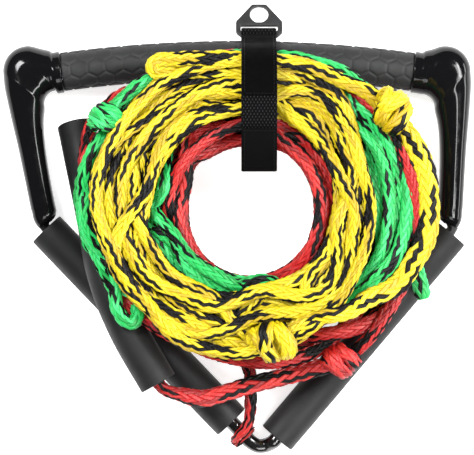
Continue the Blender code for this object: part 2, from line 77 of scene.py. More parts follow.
STRAP_X = 0.0152
STRAP_HALF_WIDTH = 0.0125
WEB_THICKNESS = 0.0016
STRAP_FRONT_ROUTE = (            # (y, z), as in the CAD model
    (0.1348, 0.0210), (0.1314, 0.0320), (0.1288, 0.0450), (0.1276, 0.0570),
    (0.1245, 0.0690), (0.1170, 0.0785), (0.1060, 0.0832), (0.0920, 0.0846),
    (0.0780, 0.0839), (0.0660, 0.0812), (0.0560, 0.0765), (0.0480, 0.0705),
    (0.0422, 0.0640),
)

MAIN_FLOAT_ROUTE = (
    (-0.1150, 0.0743, 0.0140),
    (-0.1012, 0.0100, 0.0300),
    (-0.0935, -0.0300, 0.0395),
    (-0.0780, -0.0700, 0.0435),
    (-0.0556, -0.1093, 0.0445),
)
FLOAT_LEAD_DEPTH = 0.018         # the line starts this far inside the main float, at its end knot
FLOAT_LEAD_ROUTE = (
    (-0.0400, -0.1170, 0.0440),
    (-0.0240, -0.1200, 0.0415),
    (-0.0080, -0.1160, 0.0395),
    (0.0110, -0.1100, 0.0385),
    (0.0300, -0.1055, 0.0390),
    (0.0480, -0.1010, 0.0400),
    (0.0570, -0.0985, 0.0405),
    (0.0680, -0.0955, 0.0420),
)
RED_LEAD_ROUTE = (
    (0.0088, -0.1366, 0.0240),
    (0.0094, -0.1260, 0.0262),
    (0.0096, -0.1110, 0.0275),
    (0.0098, -0.0960, 0.0288),
    (0.0100, -0.0840, 0.0295),
)
GREEN_TAIL_ROUTE = (
    (0.1215, -0.0270, 0.0332),
    (0.1270, -0.0330, 0.0332),
    (0.1305, -0.0410, 0.0328),
    (0.1320, -0.0500, 0.0318),
)
HITCH_ROUTE = (                  # the tail and the loop round the vinyl sheath
    (-0.0012, -0.1550, 0.0125),
    (0.0030, -0.1500, 0.0172),
    (0.0070, -0.1458, 0.0190),
    (0.0100, -0.1426, 0.0160),
    (0.0104, -0.1428, 0.0095),
    (0.0080, -0.1455, 0.0050),
    (0.0038, -0.1496, 0.0046),
    (-0.0010, -0.1528, 0.0062),
    (-0.0026, -0.1520, 0.0120),
    (0.0000, -0.1480, 0.0200),
    (0.0050, -0.1428, 0.0245),
)
KNOT_NODES = ("yellow_knot_upper", "yellow_knot_lower", "green_knot", "red_knot")
YELLOW_TONES = ((0.66, 0.51, 0.004), (0.76, 0.60, 0.012), (0.50, 0.34, 0.003))
GREEN_TONES = ((0.016, 0.50, 0.10), (0.045, 0.62, 0.17), (0.006, 0.32, 0.055))
RED_TONES = ((0.46, 0.010, 0.010), (0.58, 0.026, 0.022), (0.28, 0.005, 0.006))
TRACER = (0.0036, 0.0031, 0.0036)    # the black strands

# Radius in mm of a band of turns at 0, 45, 90 ... 315 degrees round the coil: least, greatest.
BANDS = {
    "red_inner": ((47, 49, 48, 50, 50, 54, 53, 51), (52, 58, 63, 69, 61, 60, 57, 53)),
    "red_outer": ((88, 90, 84, 90, 92, 96, 86, 92), (118, 110, 100, 108, 112, 108, 106, 119)),
    "green_low": ((80, 84, 80, 92, 104, 84, 62, 72), (108, 108, 104, 116, 124, 104, 84, 92)),
    "green_inner": ((78, 80, 76, 76, 60, 56, 50, 62), (96, 100, 98, 92, 70, 67, 57, 80)),
    "green_band": ((86, 88, 96, 96, 108, 84, 60, 78), (104, 106, 107, 110, 124, 100, 78, 94)),
    "yellow_main": ((59, 67, 69, 73, 75, 76, 58, 60), (76, 86, 101, 110, 112, 98, 102, 84)),
    "yellow_wide": ((62, 70, 74, 75, 79, 77, 66, 64), (80, 98, 105, 112, 113, 98, 100, 92)),
}


# ---------------------------------------------------------------- shader helpers
def plain_material(name, colour, roughness, **settings):
    """A Principled material. settings are further shader sockets by name, with _ for a space."""
    made = bpy.data.materials.new(name)
    made.use_nodes = True
    shader = made.node_tree.nodes["Principled BSDF"]
    shader.inputs["Base Color"].default_value = (*colour, 1.0)
    shader.inputs["Roughness"].default_value = roughness
    for socket, value in settings.items():
        shader.inputs[socket.replace("_", " ")].default_value = value
    made.diffuse_color = (*colour, 1.0)
    return made


def link(material, output, socket):
    material.node_tree.links.new(output, socket)


def shader_of(material):
    return material.node_tree.nodes["Principled BSDF"]


def node(material, kind, values=(), **attributes):
    """A shader node. values are its inputs: plain values, or other nodes' outputs to link."""
    made = material.node_tree.nodes.new(kind)
    for key, value in attributes.items():
        setattr(made, key, value)
    for key, value in dict(values).items():
        if isinstance(value, bpy.types.NodeSocket):
            link(material, value, made.inputs[key])
        else:
            made.inputs[key].default_value = value
    return made


def calculated(material, operation, *values):
    return node(material, "ShaderNodeMath", enumerate(values), operation=operation).outputs["Value"]


def add_bump(material, height, strength, depth):
    bump = node(material, "ShaderNodeBump", {"Height": height, "Strength": strength,
                                             "Distance": depth})
    link(material, bump.outputs["Normal"], shader_of(material).inputs["Normal"])


def add_tones(material, value, dark, dark_at, light, light_at):
    """Colours the material from dark to light as value rises from dark_at to light_at."""
    ramp = node(material, "ShaderNodeValToRGB", {"Fac": value})
    for element, colour, place in zip(ramp.color_ramp.elements, (dark, light), (dark_at, light_at)):
        element.position = place
        element.color = (*colour, 1.0)
    link(material, ramp.outputs["Color"], shader_of(material).inputs["Base Color"])


def noise(material, scale, detail, roughness=0.6, stretch=(1.0, 1.0, 1.0)):
    """Noise on the object's own coordinates."""
    place = node(material, "ShaderNodeTexCoord").outputs["Object"]
    stretched = node(material, "ShaderNodeMapping", {"Vector": place, "Scale": stretch})
    return node(material, "ShaderNodeTexNoise",
                {"Vector": stretched.outputs["Vector"], "Scale": scale, "Detail": detail,
                 "Roughness": roughness}).outputs["Fac"]


def grained_material(name, colour, roughness, specular, grain, wear=None, tones=None,
                     stretch=(1.0, 1.0, 1.0), **settings):
    """A material with fine grain, given as its scale, strength, depth and detail.

    wear is the scale, least and greatest value of its roughness. tones are the scale, the dark
    and the light of its colour.
    """
    made = plain_material(name + "_look", colour, roughness, Specular_IOR_Level=specular, **settings)
    scale, strength, depth, detail = grain
    add_bump(made, noise(made, scale, detail, stretch=stretch), strength, depth)
    if wear:
        scale, least, greatest = wear
        limits = node(made, "ShaderNodeMapRange", {"Value": noise(made, scale, 4.0, 0.55),
                                                   "From Min": 0.35, "From Max": 0.65,
                                                   "To Min": least, "To Max": greatest})
        link(made, limits.outputs["Result"], shader_of(made).inputs["Roughness"])
    if tones:
        scale, dark, light = tones
        add_tones(made, noise(made, scale, 5.0), dark, 0.35, light, 0.68)
    return made


# ---------------------------------------------------------------- curves
def through(route, steps):
    """Points on a Catmull-Rom curve through the rows of an array, some steps from each to the next."""
    route = np.vstack((2 * route[0] - route[1], route, 2 * route[-1] - route[-2]))
    t = np.linspace(0, 1, steps, endpoint=False)[:, None]
    pieces = [0.5 * (2 * b + (c - a) * t + (2 * a - 5 * b + 4 * c - d) * t ** 2
                     + (3 * b - a - 3 * c + d) * t ** 3)
              for a, b, c, d in zip(route, route[1:], route[2:], route[3:])]
    return np.vstack((*pieces, route[-2:-1]))


def spline(points, spacing):
    """Evenly spaced points on a smooth curve through the given points."""
    return evenly(through(np.array(points, float), 24), spacing)


def lengths_along(points):
    steps = np.linalg.norm(np.diff(points, axis=0), axis=1)
    return np.concatenate(((0.0,), np.cumsum(steps)))


def resampled(places, along, values):
    return np.stack([np.interp(places, along, column) for column in values.T], 1)


def evenly(points, spacing):
    along = lengths_along(points)
    count = max(3, int(round(along[-1] / spacing)) + 1)
    return resampled(np.linspace(0, along[-1], count), along, points)


def smoothed(values, sigma):
    """Gaussian smoothing along the first axis, sigma in samples, with the ends kept in place."""
    reach = min(int(3 * sigma) + 1, len(values) - 2)
    weights = np.exp(-0.5 * (np.arange(-reach, reach + 1) / sigma) ** 2)
    weights /= weights.sum()
    columns = values.reshape(len(values), -1)
    result = []
    for column in columns.T:
        padded = np.concatenate((2 * column[0] - column[reach:0:-1], column,
                                 2 * column[-1] - column[-2:-reach - 2:-1]))
        result.append(np.convolve(padded, weights, "valid"))
    return np.stack(result, 1).reshape(values.shape)


def wander(rng, count, wavelength, amount):
    """A smooth random walk round zero, wavelength in samples."""
    knots = max(4, int(count / wavelength) + 3)
    values = rng.normal(0.0, 1.0, knots)
    return amount * smoothed(np.interp(np.linspace(0, knots - 1, count), np.arange(knots), values),
                             wavelength / 4)


def eased(share):
    """A share from 0 to 1 with a smooth start and end."""
    return share * share * (3 - 2 * share)


# ---------------------------------------------------------------- braided rope
def rope_frames(points):
    """Along, across (level) and up directions at each point of a path."""
    along = np.gradient(points, axis=0)
    along /= np.linalg.norm(along, axis=1)[:, None]
    across = np.cross(UP, along)
    size = np.linalg.norm(across, axis=1)
    for index in range(1, len(across)):
        if size[index] < STEEP:
            across[index] = across[index - 1] - along[index] * (across[index - 1] @ along[index])
            size[index] = np.linalg.norm(across[index])
    across /= size[:, None]
    return along, across, np.cross(along, across)


def crown_heights(p, q):
    """Height, 0 to 1, of the braid's surface at half-steps p and q of its two strand families."""
    odd_p = p % 2 == 1
    odd_q = q % 2 == 1
    crossing = p // 2 + q // 2
    first_on_top = crossing % 4 < 2
    first_before = (crossing - 1) % 4 < 2
    between_crowns = odd_p ^ odd_q
    same_strand = np.where(odd_p, first_on_top & first_before, ~first_on_top & ~first_before)
    return np.select((odd_p & odd_q, between_crowns & same_strand,
                      between_crowns & (first_on_top ^ first_before), between_crowns),
                     (1.0, 0.95, 0.35, 0.12), 0.0)


def braid(name, path, materials, rng, half_width, half_thickness, tracers, rolls=0.0,
          flat_along=None):
    """A closed mesh tube of braided rope along a path: quads follow both families of strands.

    materials are three tones of the rope's colour and the tracer's black. half_width,
    half_thickness and rolls, in radians, may be one value for each point of the path. The rope
    lies level, or with flat_along its width keeps to that direction.
    """
    along = lengths_along(path)
    count = max(8, int(along[-1] / RING_STEP) // 2 * 2)
    places = np.linspace(0, along[-1], count)
    points = resampled(places, along, path)
    wide, thick, roll = (np.interp(places, along, np.broadcast_to(values, len(path)))
                         for values in (half_width, half_thickness, rolls))
    end = np.minimum(1.0, 0.55 + 0.45 * np.minimum(places, along[-1] - places) / END_TAPER)
    wide = wide * end
    thick = thick * end
    direction, across, up = rope_frames(points)
    if flat_along is not None:
        across = flat_along - direction * (direction @ flat_along)[:, None]
        across /= np.linalg.norm(across, axis=1)[:, None]
        up = np.cross(direction, across)
    turned_across = across * np.cos(roll)[:, None] + up * np.sin(roll)[:, None]
    turned_up = up * np.cos(roll)[:, None] - across * np.sin(roll)[:, None]
    twist = wander(rng, count, *TWIST) + rng.uniform(0, 2 * math.pi)

    k = np.arange(count)[:, None]
    j = np.arange(SIDES)[None, :]
    odd = k % 2
    p = j - (k - odd) // 2
    q = j + (k + odd) // 2
    angle = 2 * math.pi * (2 * j + odd) / (2 * SIDES) + twist[:, None]
    lift = RELIEF * (crown_heights(p, q) - MEAN_CROWN)
    lift = lift + rng.normal(0.0, FUZZ, lift.shape)
    vertices = (points[:, None, :]
                + turned_across[:, None, :] * ((wide[:, None] + lift) * np.cos(angle))[..., None]
                + turned_up[:, None, :] * ((thick[:, None] + lift) * np.sin(angle))[..., None])

    rows = np.arange(count - 2)[:, None]
    parity = rows % 2
    quads = np.stack((rows * SIDES + j, (rows + 1) * SIDES + (j + parity) % SIDES,
                      (rows + 2) * SIDES + j, (rows + 1) * SIDES + (j - 1 + parity) % SIDES),
                     -1).reshape(-1, 4)

    first = (p[:-2] - 1) // 2
    second = q[:-2] // 2
    first_on_top = (first + second) % 4 < 2
    strand = np.where(first_on_top, first % STRANDS, second % STRANDS)
    scatter = (first + second) // 4 + np.where(first_on_top, 31 * first, 57 * second + 11)
    tone = (scatter * 7919 + 13 * strand) % 23       # spreads the three tones over the crowns
    tones = np.where(tone < 12, 0, np.where(tone < 18, 1, 2))
    slots = np.where(strand < tracers, len(materials) - 1, tones).reshape(-1)

    ring = np.arange(SIDES)
    shift = (count - 1) % 2
    top = (count - 1) * SIDES
    start_triangles = np.stack((ring, (ring + 1) % SIDES, SIDES + ring), 1)
    end_triangles = np.stack((top + (ring + 1 - shift) % SIDES, top + (ring - shift) % SIDES,
                              top - SIDES + ring), 1)
    faces = [*quads.tolist(), *start_triangles.tolist(), *end_triangles.tolist(),
             ring[::-1].tolist(), (top + ring).tolist()]
    mesh = bpy.data.meshes.new(name)
    mesh.from_pydata(vertices.reshape(-1, 3).tolist(), [], faces)
    made = new_object(name, mesh, *materials)
    add_strand_map(mesh, p, q, first_on_top, len(quads))
    indices = np.zeros(len(faces), np.int32)
    indices[:len(slots)] = slots
    mesh.polygons.foreach_set("material_index", indices)
    mesh.shade_smooth()
    return made, points


def add_strand_map(mesh, p, q, first_on_top, quad_count):
    """A map with its first coordinate across the strand on top and its second along it."""
    first = p[:-2] / 2
    second = q[:-2] / 2
    corners = np.array(((0.0, 0.0), (0.0, 0.5), (-0.5, 0.5), (-0.5, 0.0)))
    first = first[..., None] + corners[:, 0]
    second = second[..., None] + corners[:, 1]
    swap = first_on_top[..., None]
    strand_map = np.stack((np.where(swap, first, second), np.where(swap, second, first)), -1)
    layer = mesh.uv_layers.new(name="Strand")
    values = np.zeros((len(mesh.loops), 2))
    values[:quad_count * 4] = strand_map.reshape(-1, 2)
    layer.data.foreach_set("uv", values.ravel())


# ---------------------------------------------------------------- laying the coil
GRID_STEP = 0.001
GRID_LOW = np.array((-0.150, -0.170))
GRID_SIZE = (310, 330)
SUPPORTS = ("grip_sleeve", "left_arm", "right_arm", "left_float", "right_float", "main_float",
            "strap_back")            # what the coil can rest on
LANES = np.linspace(0, 1, 13)        # where in a band a turn may lie
LANE_SPREAD = 9.0                    # degrees before and after, where the pile's level also counts
LANE_HOLD = 0.10                     # how much a turn keeps to its lane
LANE_CHANCE = 0.0022                 # how much chance has a say
LEG_DEGREES = 36.0                   # from one choice of lane to the next
LEGS_AT_ONCE = 5                     # legs laid before the pile is looked at again
REACH_DEGREES = 20.0                 # a rope that goes on to a place does it in steps like this
STRAP_MARGIN = 0.004                 # the pile is low this far beside the strap, then rises
STRAP_SLOPE = 0.022
STRAP_LOWEST_Y = 0.040               # the strap's front runs from here to the grip
KNOT_SEAT = 0.004                    # height over a knot's underside that the pile keeps to
KNOT_REACH = 0.010
KNOT_SLOPE = 0.012
OPEN_HEIGHT = 0.03                   # beyond the slope there is room to this height over the strap
LEAST_PILE = 0.004
LEAST_SQUEEZE = 0.35                 # least share of the pile's height that is kept


def cad_tops():
    """Height of the highest CAD surface that the coil can rest on, on a 1 mm grid."""
    heights = np.zeros(GRID_SIZE)
    for name in SUPPORTS:
        data = NODES[name].data
        tree = BVHTree.FromPolygons([v.co for v in data.vertices],
                                    [p.vertices for p in data.polygons])
        low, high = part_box(name)
        first = np.maximum(((np.array(low[:2]) - GRID_LOW) / GRID_STEP).astype(int) - 1, 0)
        last = np.minimum(((np.array(high[:2]) - GRID_LOW) / GRID_STEP).astype(int) + 2, GRID_SIZE)
        for i in range(first[0], last[0]):
            for j in range(first[1], last[1]):
                x, y = GRID_LOW + np.array((i, j)) * GRID_STEP
                hit = tree.ray_cast(Vector((x, y, 0.2)), Vector((0, 0, -1)))[0]
                if hit is not None:
                    heights[i, j] = max(heights[i, j], hit.z)
    return heights


def footprint():
    """Grid offsets under a rope's section, and the half height of the rope at each."""
    reach = int(HALF_WIDTH / GRID_STEP)
    offsets = np.array([(i, j) for i in range(-reach, reach + 1) for j in range(-reach, reach + 1)
                        if (i * i + j * j) * GRID_STEP ** 2 < HALF_WIDTH ** 2])
    across = np.linalg.norm(offsets, axis=1) * GRID_STEP / HALF_WIDTH
    return offsets, HALF_THICKNESS * np.sqrt(1 - across ** 2)


class Pile:
    """Heights of what has been laid so far. Each new stretch of rope rests on it."""

    def __init__(self):
        self.heights = np.maximum(cad_tops(), COIL_BASE)
        self.offsets, self.profile = footprint()

    def cells(self, points):
        index = np.rint((points[:, :2] - GRID_LOW) / GRID_STEP).astype(int)
        index = index[:, None, :] + self.offsets[None]
        return (np.clip(index[..., 0], 0, GRID_SIZE[0] - 1), np.clip(index[..., 1], 0, GRID_SIZE[1] - 1))

    def support(self, points):
        return (self.heights[self.cells(points)] + self.profile).max(axis=1)

    def level(self, points):
        return self.heights[self.cells(points)].mean(axis=1)

    def press(self, points, heights):
        np.maximum.at(self.heights, self.cells(points), heights[:, None] + self.profile)


def on_coil(degrees, radius):
    turn = np.radians(degrees)
    return COIL_CENTRE + np.stack((np.cos(turn) * radius, np.sin(turn) * radius), -1)


def band_radii(band, degrees):
    ring = np.arange(0, 361, 45)
    return [np.interp(degrees % 360, ring, (*limits, limits[0])) * 0.001 for limits in BANDS[band]]


def next_radius(pile, rng, band, degrees, share):
    """Where a turn lies at the next bearing: near its lane, but sliding to where the pile is low."""
    low, high = band_radii(band, degrees)
    radii = low + (high - low) * LANES
    spread = np.radians(np.array((-LANE_SPREAD, 0.0, LANE_SPREAD)))
    level = sum(pile.level(on_coil(degrees + np.degrees(s), radii)) for s in spread) / 3
    cost = level + LANE_HOLD * np.abs(radii - (low + (high - low) * share))
    cost = cost + rng.uniform(0, LANE_CHANCE, len(LANES))
    best = LANES[int(np.argmin(cost))]
    return low + (high - low) * best, best


class Rope:
    """One rope's path, laid leg by leg on the pile."""

    LAG = int(0.045 / SAMPLE)            # points held back, as the rope ahead may still lift them
    OVERLAP = 6                          # points of the laid path that its lead takes the place of
    SOFTEN = 4                           # points over which its height is spread

    def __init__(self, pile, seed, start, way=-1, lead=()):
        self.pile = pile
        self.way = way                   # -1 winds clockwise seen from above, 1 anticlockwise
        self.lead = lead
        self.marks = []
        self.rng = np.random.default_rng(seed)
        self.plan = np.zeros((0, 2))
        self.needs = np.zeros(0)
        self.pressed = 0
        self.degrees, self.radius = start
        self.share = 0.5

    def add(self, plan):
        """Lays a stretch given by its plan view and presses all but its last part into the pile."""
        fresh = evenly(plan, SAMPLE)
        if len(self.plan):
            fresh = fresh[1:]
        self.plan = np.vstack((self.plan, fresh))
        self.needs = np.concatenate((self.needs, self.pile.support(fresh)))
        until = len(self.plan) - self.LAG
        if until > self.pressed:
            heights = self.heights()
            self.pile.press(self.plan[self.pressed:until], heights[self.pressed:until])
            self.pressed = until

    def heights(self):
        padded = np.pad(self.needs, self.SOFTEN, mode="edge")
        rising = np.max([padded[i:i + len(self.needs)] for i in range(2 * self.SOFTEN + 1)], axis=0)
        return smoothed(rising, self.SOFTEN)

    def turns(self, band, count):
        """Goes round the coil in a band, choosing a lane every few degrees."""
        legs = max(1, int(round(count * 360.0 / LEG_DEGREES)))
        for chunk in range(0, legs, LEGS_AT_ONCE):
            bearings = [self.degrees]
            radii = [self.radius]
            for _ in range(min(LEGS_AT_ONCE, legs - chunk)):
                self.degrees += self.way * (count * 360.0) / legs
                self.radius, self.share = next_radius(self.pile, self.rng, band, self.degrees,
                                                      self.share)
                bearings.append(self.degrees)
                radii.append(self.radius)
            self.arc(bearings, radii)

    def arc(self, bearings, radii):
        fine = np.linspace(0, len(bearings) - 1, 40 * len(bearings))
        base = fine.astype(int)
        part = fine - base
        following = np.minimum(base + 1, len(bearings) - 1)
        bearings = np.array(bearings)
        radii = np.array(radii)
        degrees = bearings[base] + (bearings[following] - bearings[base]) * part
        radius = radii[base] + (radii[following] - radii[base]) * eased(part)
        self.add(on_coil(degrees, radius))

    def reach(self, *places, way=None):
        """Goes on to each place, a bearing and a radius, the rope's own way round or the other."""
        way = way or self.way
        for bearing, radius in places:
            degrees = self.degrees + way * ((way * (bearing - self.degrees)) % 360)
            ahead = degrees - self.degrees
            share = np.linspace(0, 1, max(1, int(abs(ahead) / REACH_DEGREES)) + 1)
            self.arc(self.degrees + ahead * share,
                     self.radius + (radius - self.radius) * eased(share))
            self.degrees = degrees
            self.radius = radius

    def mark(self):
        """Remembers how far along the rope this is."""
        self.marks.append(len(self.plan))

    def bend_back(self, radius, ahead):
        """A tight fold to another radius. ahead is 1 when going anticlockwise, else -1."""
        middle = (self.radius + radius) / 2
        half = (radius - self.radius) / 2
        turn = np.linspace(0, math.pi, 16)
        degrees = self.degrees + ahead * np.degrees(abs(half) * np.sin(turn) / middle)
        self.add(on_coil(degrees, middle - half * np.cos(turn)))
        self.radius = radius

    def finished(self):
        """The whole path in three dimensions, from the end of its lead."""
        heights = self.heights()
        self.pile.press(self.plan[self.pressed:], heights[self.pressed:])
        path = np.column_stack((self.plan, heights))
        if len(self.lead):
            lead = spline(self.lead, SAMPLE)
            joined = np.vstack((lead, path[self.OVERLAP:]))
            self.marks = [mark + len(lead) - self.OVERLAP for mark in self.marks]
            soft = smoothed(joined, self.SOFTEN)
            near = np.exp(-((np.arange(len(joined)) - len(lead)) / 14.0) ** 2)[:, None]
            path = soft * near + joined * (1 - near)
        return smoothed(path, 1.5)


def blurred(grid, reach):
    for axis in (0, 1):
        grid = smoothed(np.moveaxis(grid, axis, 0), reach)
        grid = np.moveaxis(grid, 0, axis)
    return grid


def strap_underside(y):
    route = np.array(sorted(STRAP_FRONT_ROUTE))
    return np.interp(y, route[:, 0], route[:, 1]) - WEB_THICKNESS


def squeeze_map(pile):
    """How far the pile is pressed down at each place, so that it fits under the strap."""
    x = GRID_LOW[0] + np.arange(GRID_SIZE[0])[:, None] * GRID_STEP
    y = GRID_LOW[1] + np.arange(GRID_SIZE[1])[None, :] * GRID_STEP
    limit = np.full(GRID_SIZE, COIL_TOP)
    beside = np.clip((np.abs(x - STRAP_X) - STRAP_HALF_WIDTH - STRAP_MARGIN) / STRAP_SLOPE, 0, 1)
    under = strap_underside(y) + eased(beside) * OPEN_HEIGHT
    limit = np.where(y > STRAP_LOWEST_Y, np.minimum(limit, under), limit)
    for name in KNOT_NODES:
        low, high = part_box(name)
        away = np.hypot(x - (low.x + high.x) / 2, y - (low.y + high.y) / 2)
        seat = low.z + KNOT_SEAT + np.clip((away - KNOT_REACH) / KNOT_SLOPE, 0, 1) * OPEN_HEIGHT
        limit = np.minimum(limit, seat)
    height = np.maximum(pile.heights - COIL_BASE, LEAST_PILE)
    share = np.clip((limit - COIL_BASE) / height, LEAST_SQUEEZE, 1.0)
    return blurred(share, 3.0)


def squeezed(path, share):
    index = np.rint((path[:, :2] - GRID_LOW) / GRID_STEP).astype(int)
    index = np.clip(index, 0, np.array(GRID_SIZE) - 1)
    local = smoothed(share[index[:, 0], index[:, 1]], 2)
    result = path.copy()
    above = np.maximum(path[:, 2] - COIL_BASE, 0)
    result[:, 2] = np.where(path[:, 2] > COIL_BASE, COIL_BASE + above * local, path[:, 2])
    return result, local


def lay_coil():
    """Lays the red, green and yellow line turn by turn and returns each one's path."""
    pile = Pile()
    float_path = spline((*MAIN_FLOAT_ROUTE, *FLOAT_LEAD_ROUTE), SAMPLE)
    float_path = float_path[lengths_along(float_path) > FLOAT_LEAD_DEPTH]
    pile.press(float_path, float_path[:, 2])

    red = Rope(pile, 11, (252.0, 0.090), lead=(*HITCH_ROUTE, *RED_LEAD_ROUTE))
    red.turns("red_outer", 1.3)
    red.turns("red_inner", 3.0)
    red.turns("red_outer", 2.9)
    red.reach((330, 0.1000), (300, 0.0910), (270, 0.0880))
    red.turns("red_inner", 3.4)
    red.reach((176, 0.1130), (163, 0.1245), (153, 0.1285), (143, 0.1245), (133, 0.1165),
              (118, 0.1060), (100, 0.0940))

    green = Rope(pile, 5, (-6.0, 0.109), way=1, lead=GREEN_TAIL_ROUTE[::-1])
    green.turns("green_low", 2.0)
    green.turns("green_inner", 2.6)
    green.turns("green_low", 0.95)
    green.reach((205, 0.0950), (215, 0.1008), (222, 0.1095))
    green.bend_back(0.1205, 1)
    green.reach((217, 0.1195), (211, 0.1130), (198, 0.1140), (184, 0.1195), (168, 0.1200), way=-1)
    green.bend_back(0.1090, -1)
    green.turns("green_inner", 2.0)
    green.turns("green_band", 2.8)
    green.reach((150, 0.1120), (185, 0.1180), (212, 0.0980), (250, 0.0800), (290, 0.0780),
                (325, 0.0980), (345, 0.1070), (5, 0.1090), (30, 0.1130), (52, 0.1140),
                (92, 0.1040), (138, 0.1180), (147, 0.1206))

    red.reach((48, 0.1090), (20, 0.1125), (-30, 0.1190), (-61, 0.1253))

    yellow = Rope(pile, 23, (280.0, 0.094))
    yellow.turns("yellow_wide", 3.0)
    yellow.turns("yellow_main", 8.4)
    yellow.reach((68, 0.0880))
    yellow.bend_back(0.0965, -1)
    yellow.reach((90, 0.0955), (104, 0.0975), (114, 0.1040), (124, 0.1130), way=1)
    yellow.bend_back(0.1235, 1)
    yellow.reach((116, 0.1150), (106, 0.1080), (94, 0.1045), (60, 0.1000))
    yellow.turns("yellow_main", 3.0)
    yellow.reach((20, 0.0800), (-30, 0.0840), (-70, 0.0940), (-100, 0.1030), (-120, 0.1060),
                 (-138, 0.1000), (-158, 0.1020), (-185, 0.1100), (-210, 0.1090), (90, 0.1030),
                 (58, 0.1070), (42, 0.1145))
    yellow.mark()                    # it lies wide and flat between its marks
    yellow.reach((10, 0.1235), (-8, 0.1235), (-25, 0.1165), (-42, 0.1010))
    yellow.mark()
    yellow.reach((-64, 0.0880), (-80, 0.0930))
    return pile, float_path, {"red": red, "green": green, "yellow": yellow}


# ---------------------------------------------------------------- cords and knots
LINES = {                            # slot, CAD nodes and how many of its strands are black
    "red": ("red_rope", ("red_coil", "red_lead", "red_hitch"), 3),
    "green": ("green_rope", ("green_coil", "green_tail"), 2),
    "yellow": ("yellow_rope", ("yellow_coil",), 3),
    "float": ("red_rope", ("float_lead",), 3),
}
KNOTS = (                            # line, piece, node, heading, seed, half sizes, fullness
    ("red", "red_knot_wraps", "red_knot", 40, 3, 0.0058, 0.0040, 1.2),
    ("green", "green_knot_wraps", "green_knot", 58, 4, 0.0052, 0.0038, 1.05),
    ("yellow", "yellow_upper_wraps", "yellow_knot_upper", -42, 5, 0.0058, 0.0040, 1.2),
    ("yellow", "yellow_lower_wraps", "yellow_knot_lower", 14, 6, 0.0058, 0.0040, 1.2),
    ("float", "float_end_wraps", "float_end_knot", 0, 7, 0.0024, 0.0018, 1.0),
)
KNOT_TURNS = 2.6
KNOT_TRACERS = 2


def rope_material(name, colour, specular):
    """Woven fibre: fine grooves run along each strand, from the rope's Strand map."""
    made = plain_material(name, colour, 0.40, Specular_IOR_Level=specular)
    strand_map = node(made, "ShaderNodeUVMap", uv_map="Strand").outputs["UV"]
    along_strand = node(made, "ShaderNodeMapping", {"Vector": strand_map, "Scale": (7.0, 0.35, 1.0)})
    fibres = node(made, "ShaderNodeTexNoise", {"Vector": along_strand.outputs["Vector"],
                                               "Scale": 1.0, "Detail": 2.0, "Roughness": 0.6})
    parts = node(made, "ShaderNodeSeparateXYZ", {"Vector": strand_map})
    across = calculated(made, "FRACT", parts.outputs["X"])
    from_middle = calculated(made, "ABSOLUTE", calculated(made, "SUBTRACT", across, 0.5))
    edge = node(made, "ShaderNodeMapRange",
                {"Value": from_middle, "From Min": 0.30, "From Max": 0.5, "To Min": 0.0, "To Max": -1.0},
                interpolation_type="SMOOTHSTEP")
    height = calculated(made, "MULTIPLY_ADD", fibres.outputs["Fac"], 0.45, edge.outputs["Result"])
    add_bump(made, height, 0.9, 0.0009)
    return made


def rope_materials(name, tones):
    made = [rope_material(f"{name}_{index}", tone, 0.40) for index, tone in enumerate(tones)]
    return [*made, rope_material(f"{name}_tracer", TRACER, 0.18)]


def knot_path(node_name, heading, half_width, half_thickness, fullness):
    """Two wraps round a level axis and a third that crosses back over them, in a CAD knot's box."""
    low, high = (np.array(corner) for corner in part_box(node_name))
    reach = (high - low) / 2 * (fullness, fullness, 1.0)
    axis = np.array((math.cos(heading), math.sin(heading), 0.0))
    side = np.cross(UP, axis)
    length = max(0.0006, math.hypot(reach[0] * axis[0], reach[1] * axis[1]) - half_width)
    across = math.hypot(reach[0] * side[0], reach[1] * side[1]) - half_thickness
    turns = np.linspace(0, KNOT_TURNS, 140)
    travel = np.interp(turns, (0, 1.6, KNOT_TURNS), (-1.0, 1.0, -0.5))
    crossing = np.interp(turns, (0, 1.5, 1.9, 2.3, KNOT_TURNS), (0, 0, 1, 1, 0))
    waist = 1 - 0.16 * travel ** 2
    angle = 2 * math.pi * turns - math.pi / 2
    wide = across * waist * (0.86 + 0.14 * crossing)
    tall = (reach[2] - half_thickness) * waist + half_thickness * 1.1 * crossing
    path = ((low + high) / 2 + axis * (length * travel)[:, None] + side * (wide * np.cos(angle))[:, None]
            + UP * (tall * np.sin(angle))[:, None])
    return smoothed(path, 2), axis


def build_knot(name, node_name, slot, tones, heading, seed, half_width, half_thickness, fullness):
    path, axis = knot_path(node_name, math.radians(heading), half_width, half_thickness, fullness)
    made, _ = braid(name, path, tones, np.random.default_rng(seed), half_width, half_thickness,
                    KNOT_TRACERS, flat_along=axis)
    finish_piece(made, "handle", slot, node_name)
    return made


def build_line(line, path, tones, seed, half_width, half_thickness, rolls=0.0):
    slot, nodes, tracers = LINES[line]
    made, points = braid(f"{line}_line", path, tones, np.random.default_rng(seed), half_width,
                         half_thickness, tracers, rolls)
    finish_piece(made, "handle", slot, *nodes)


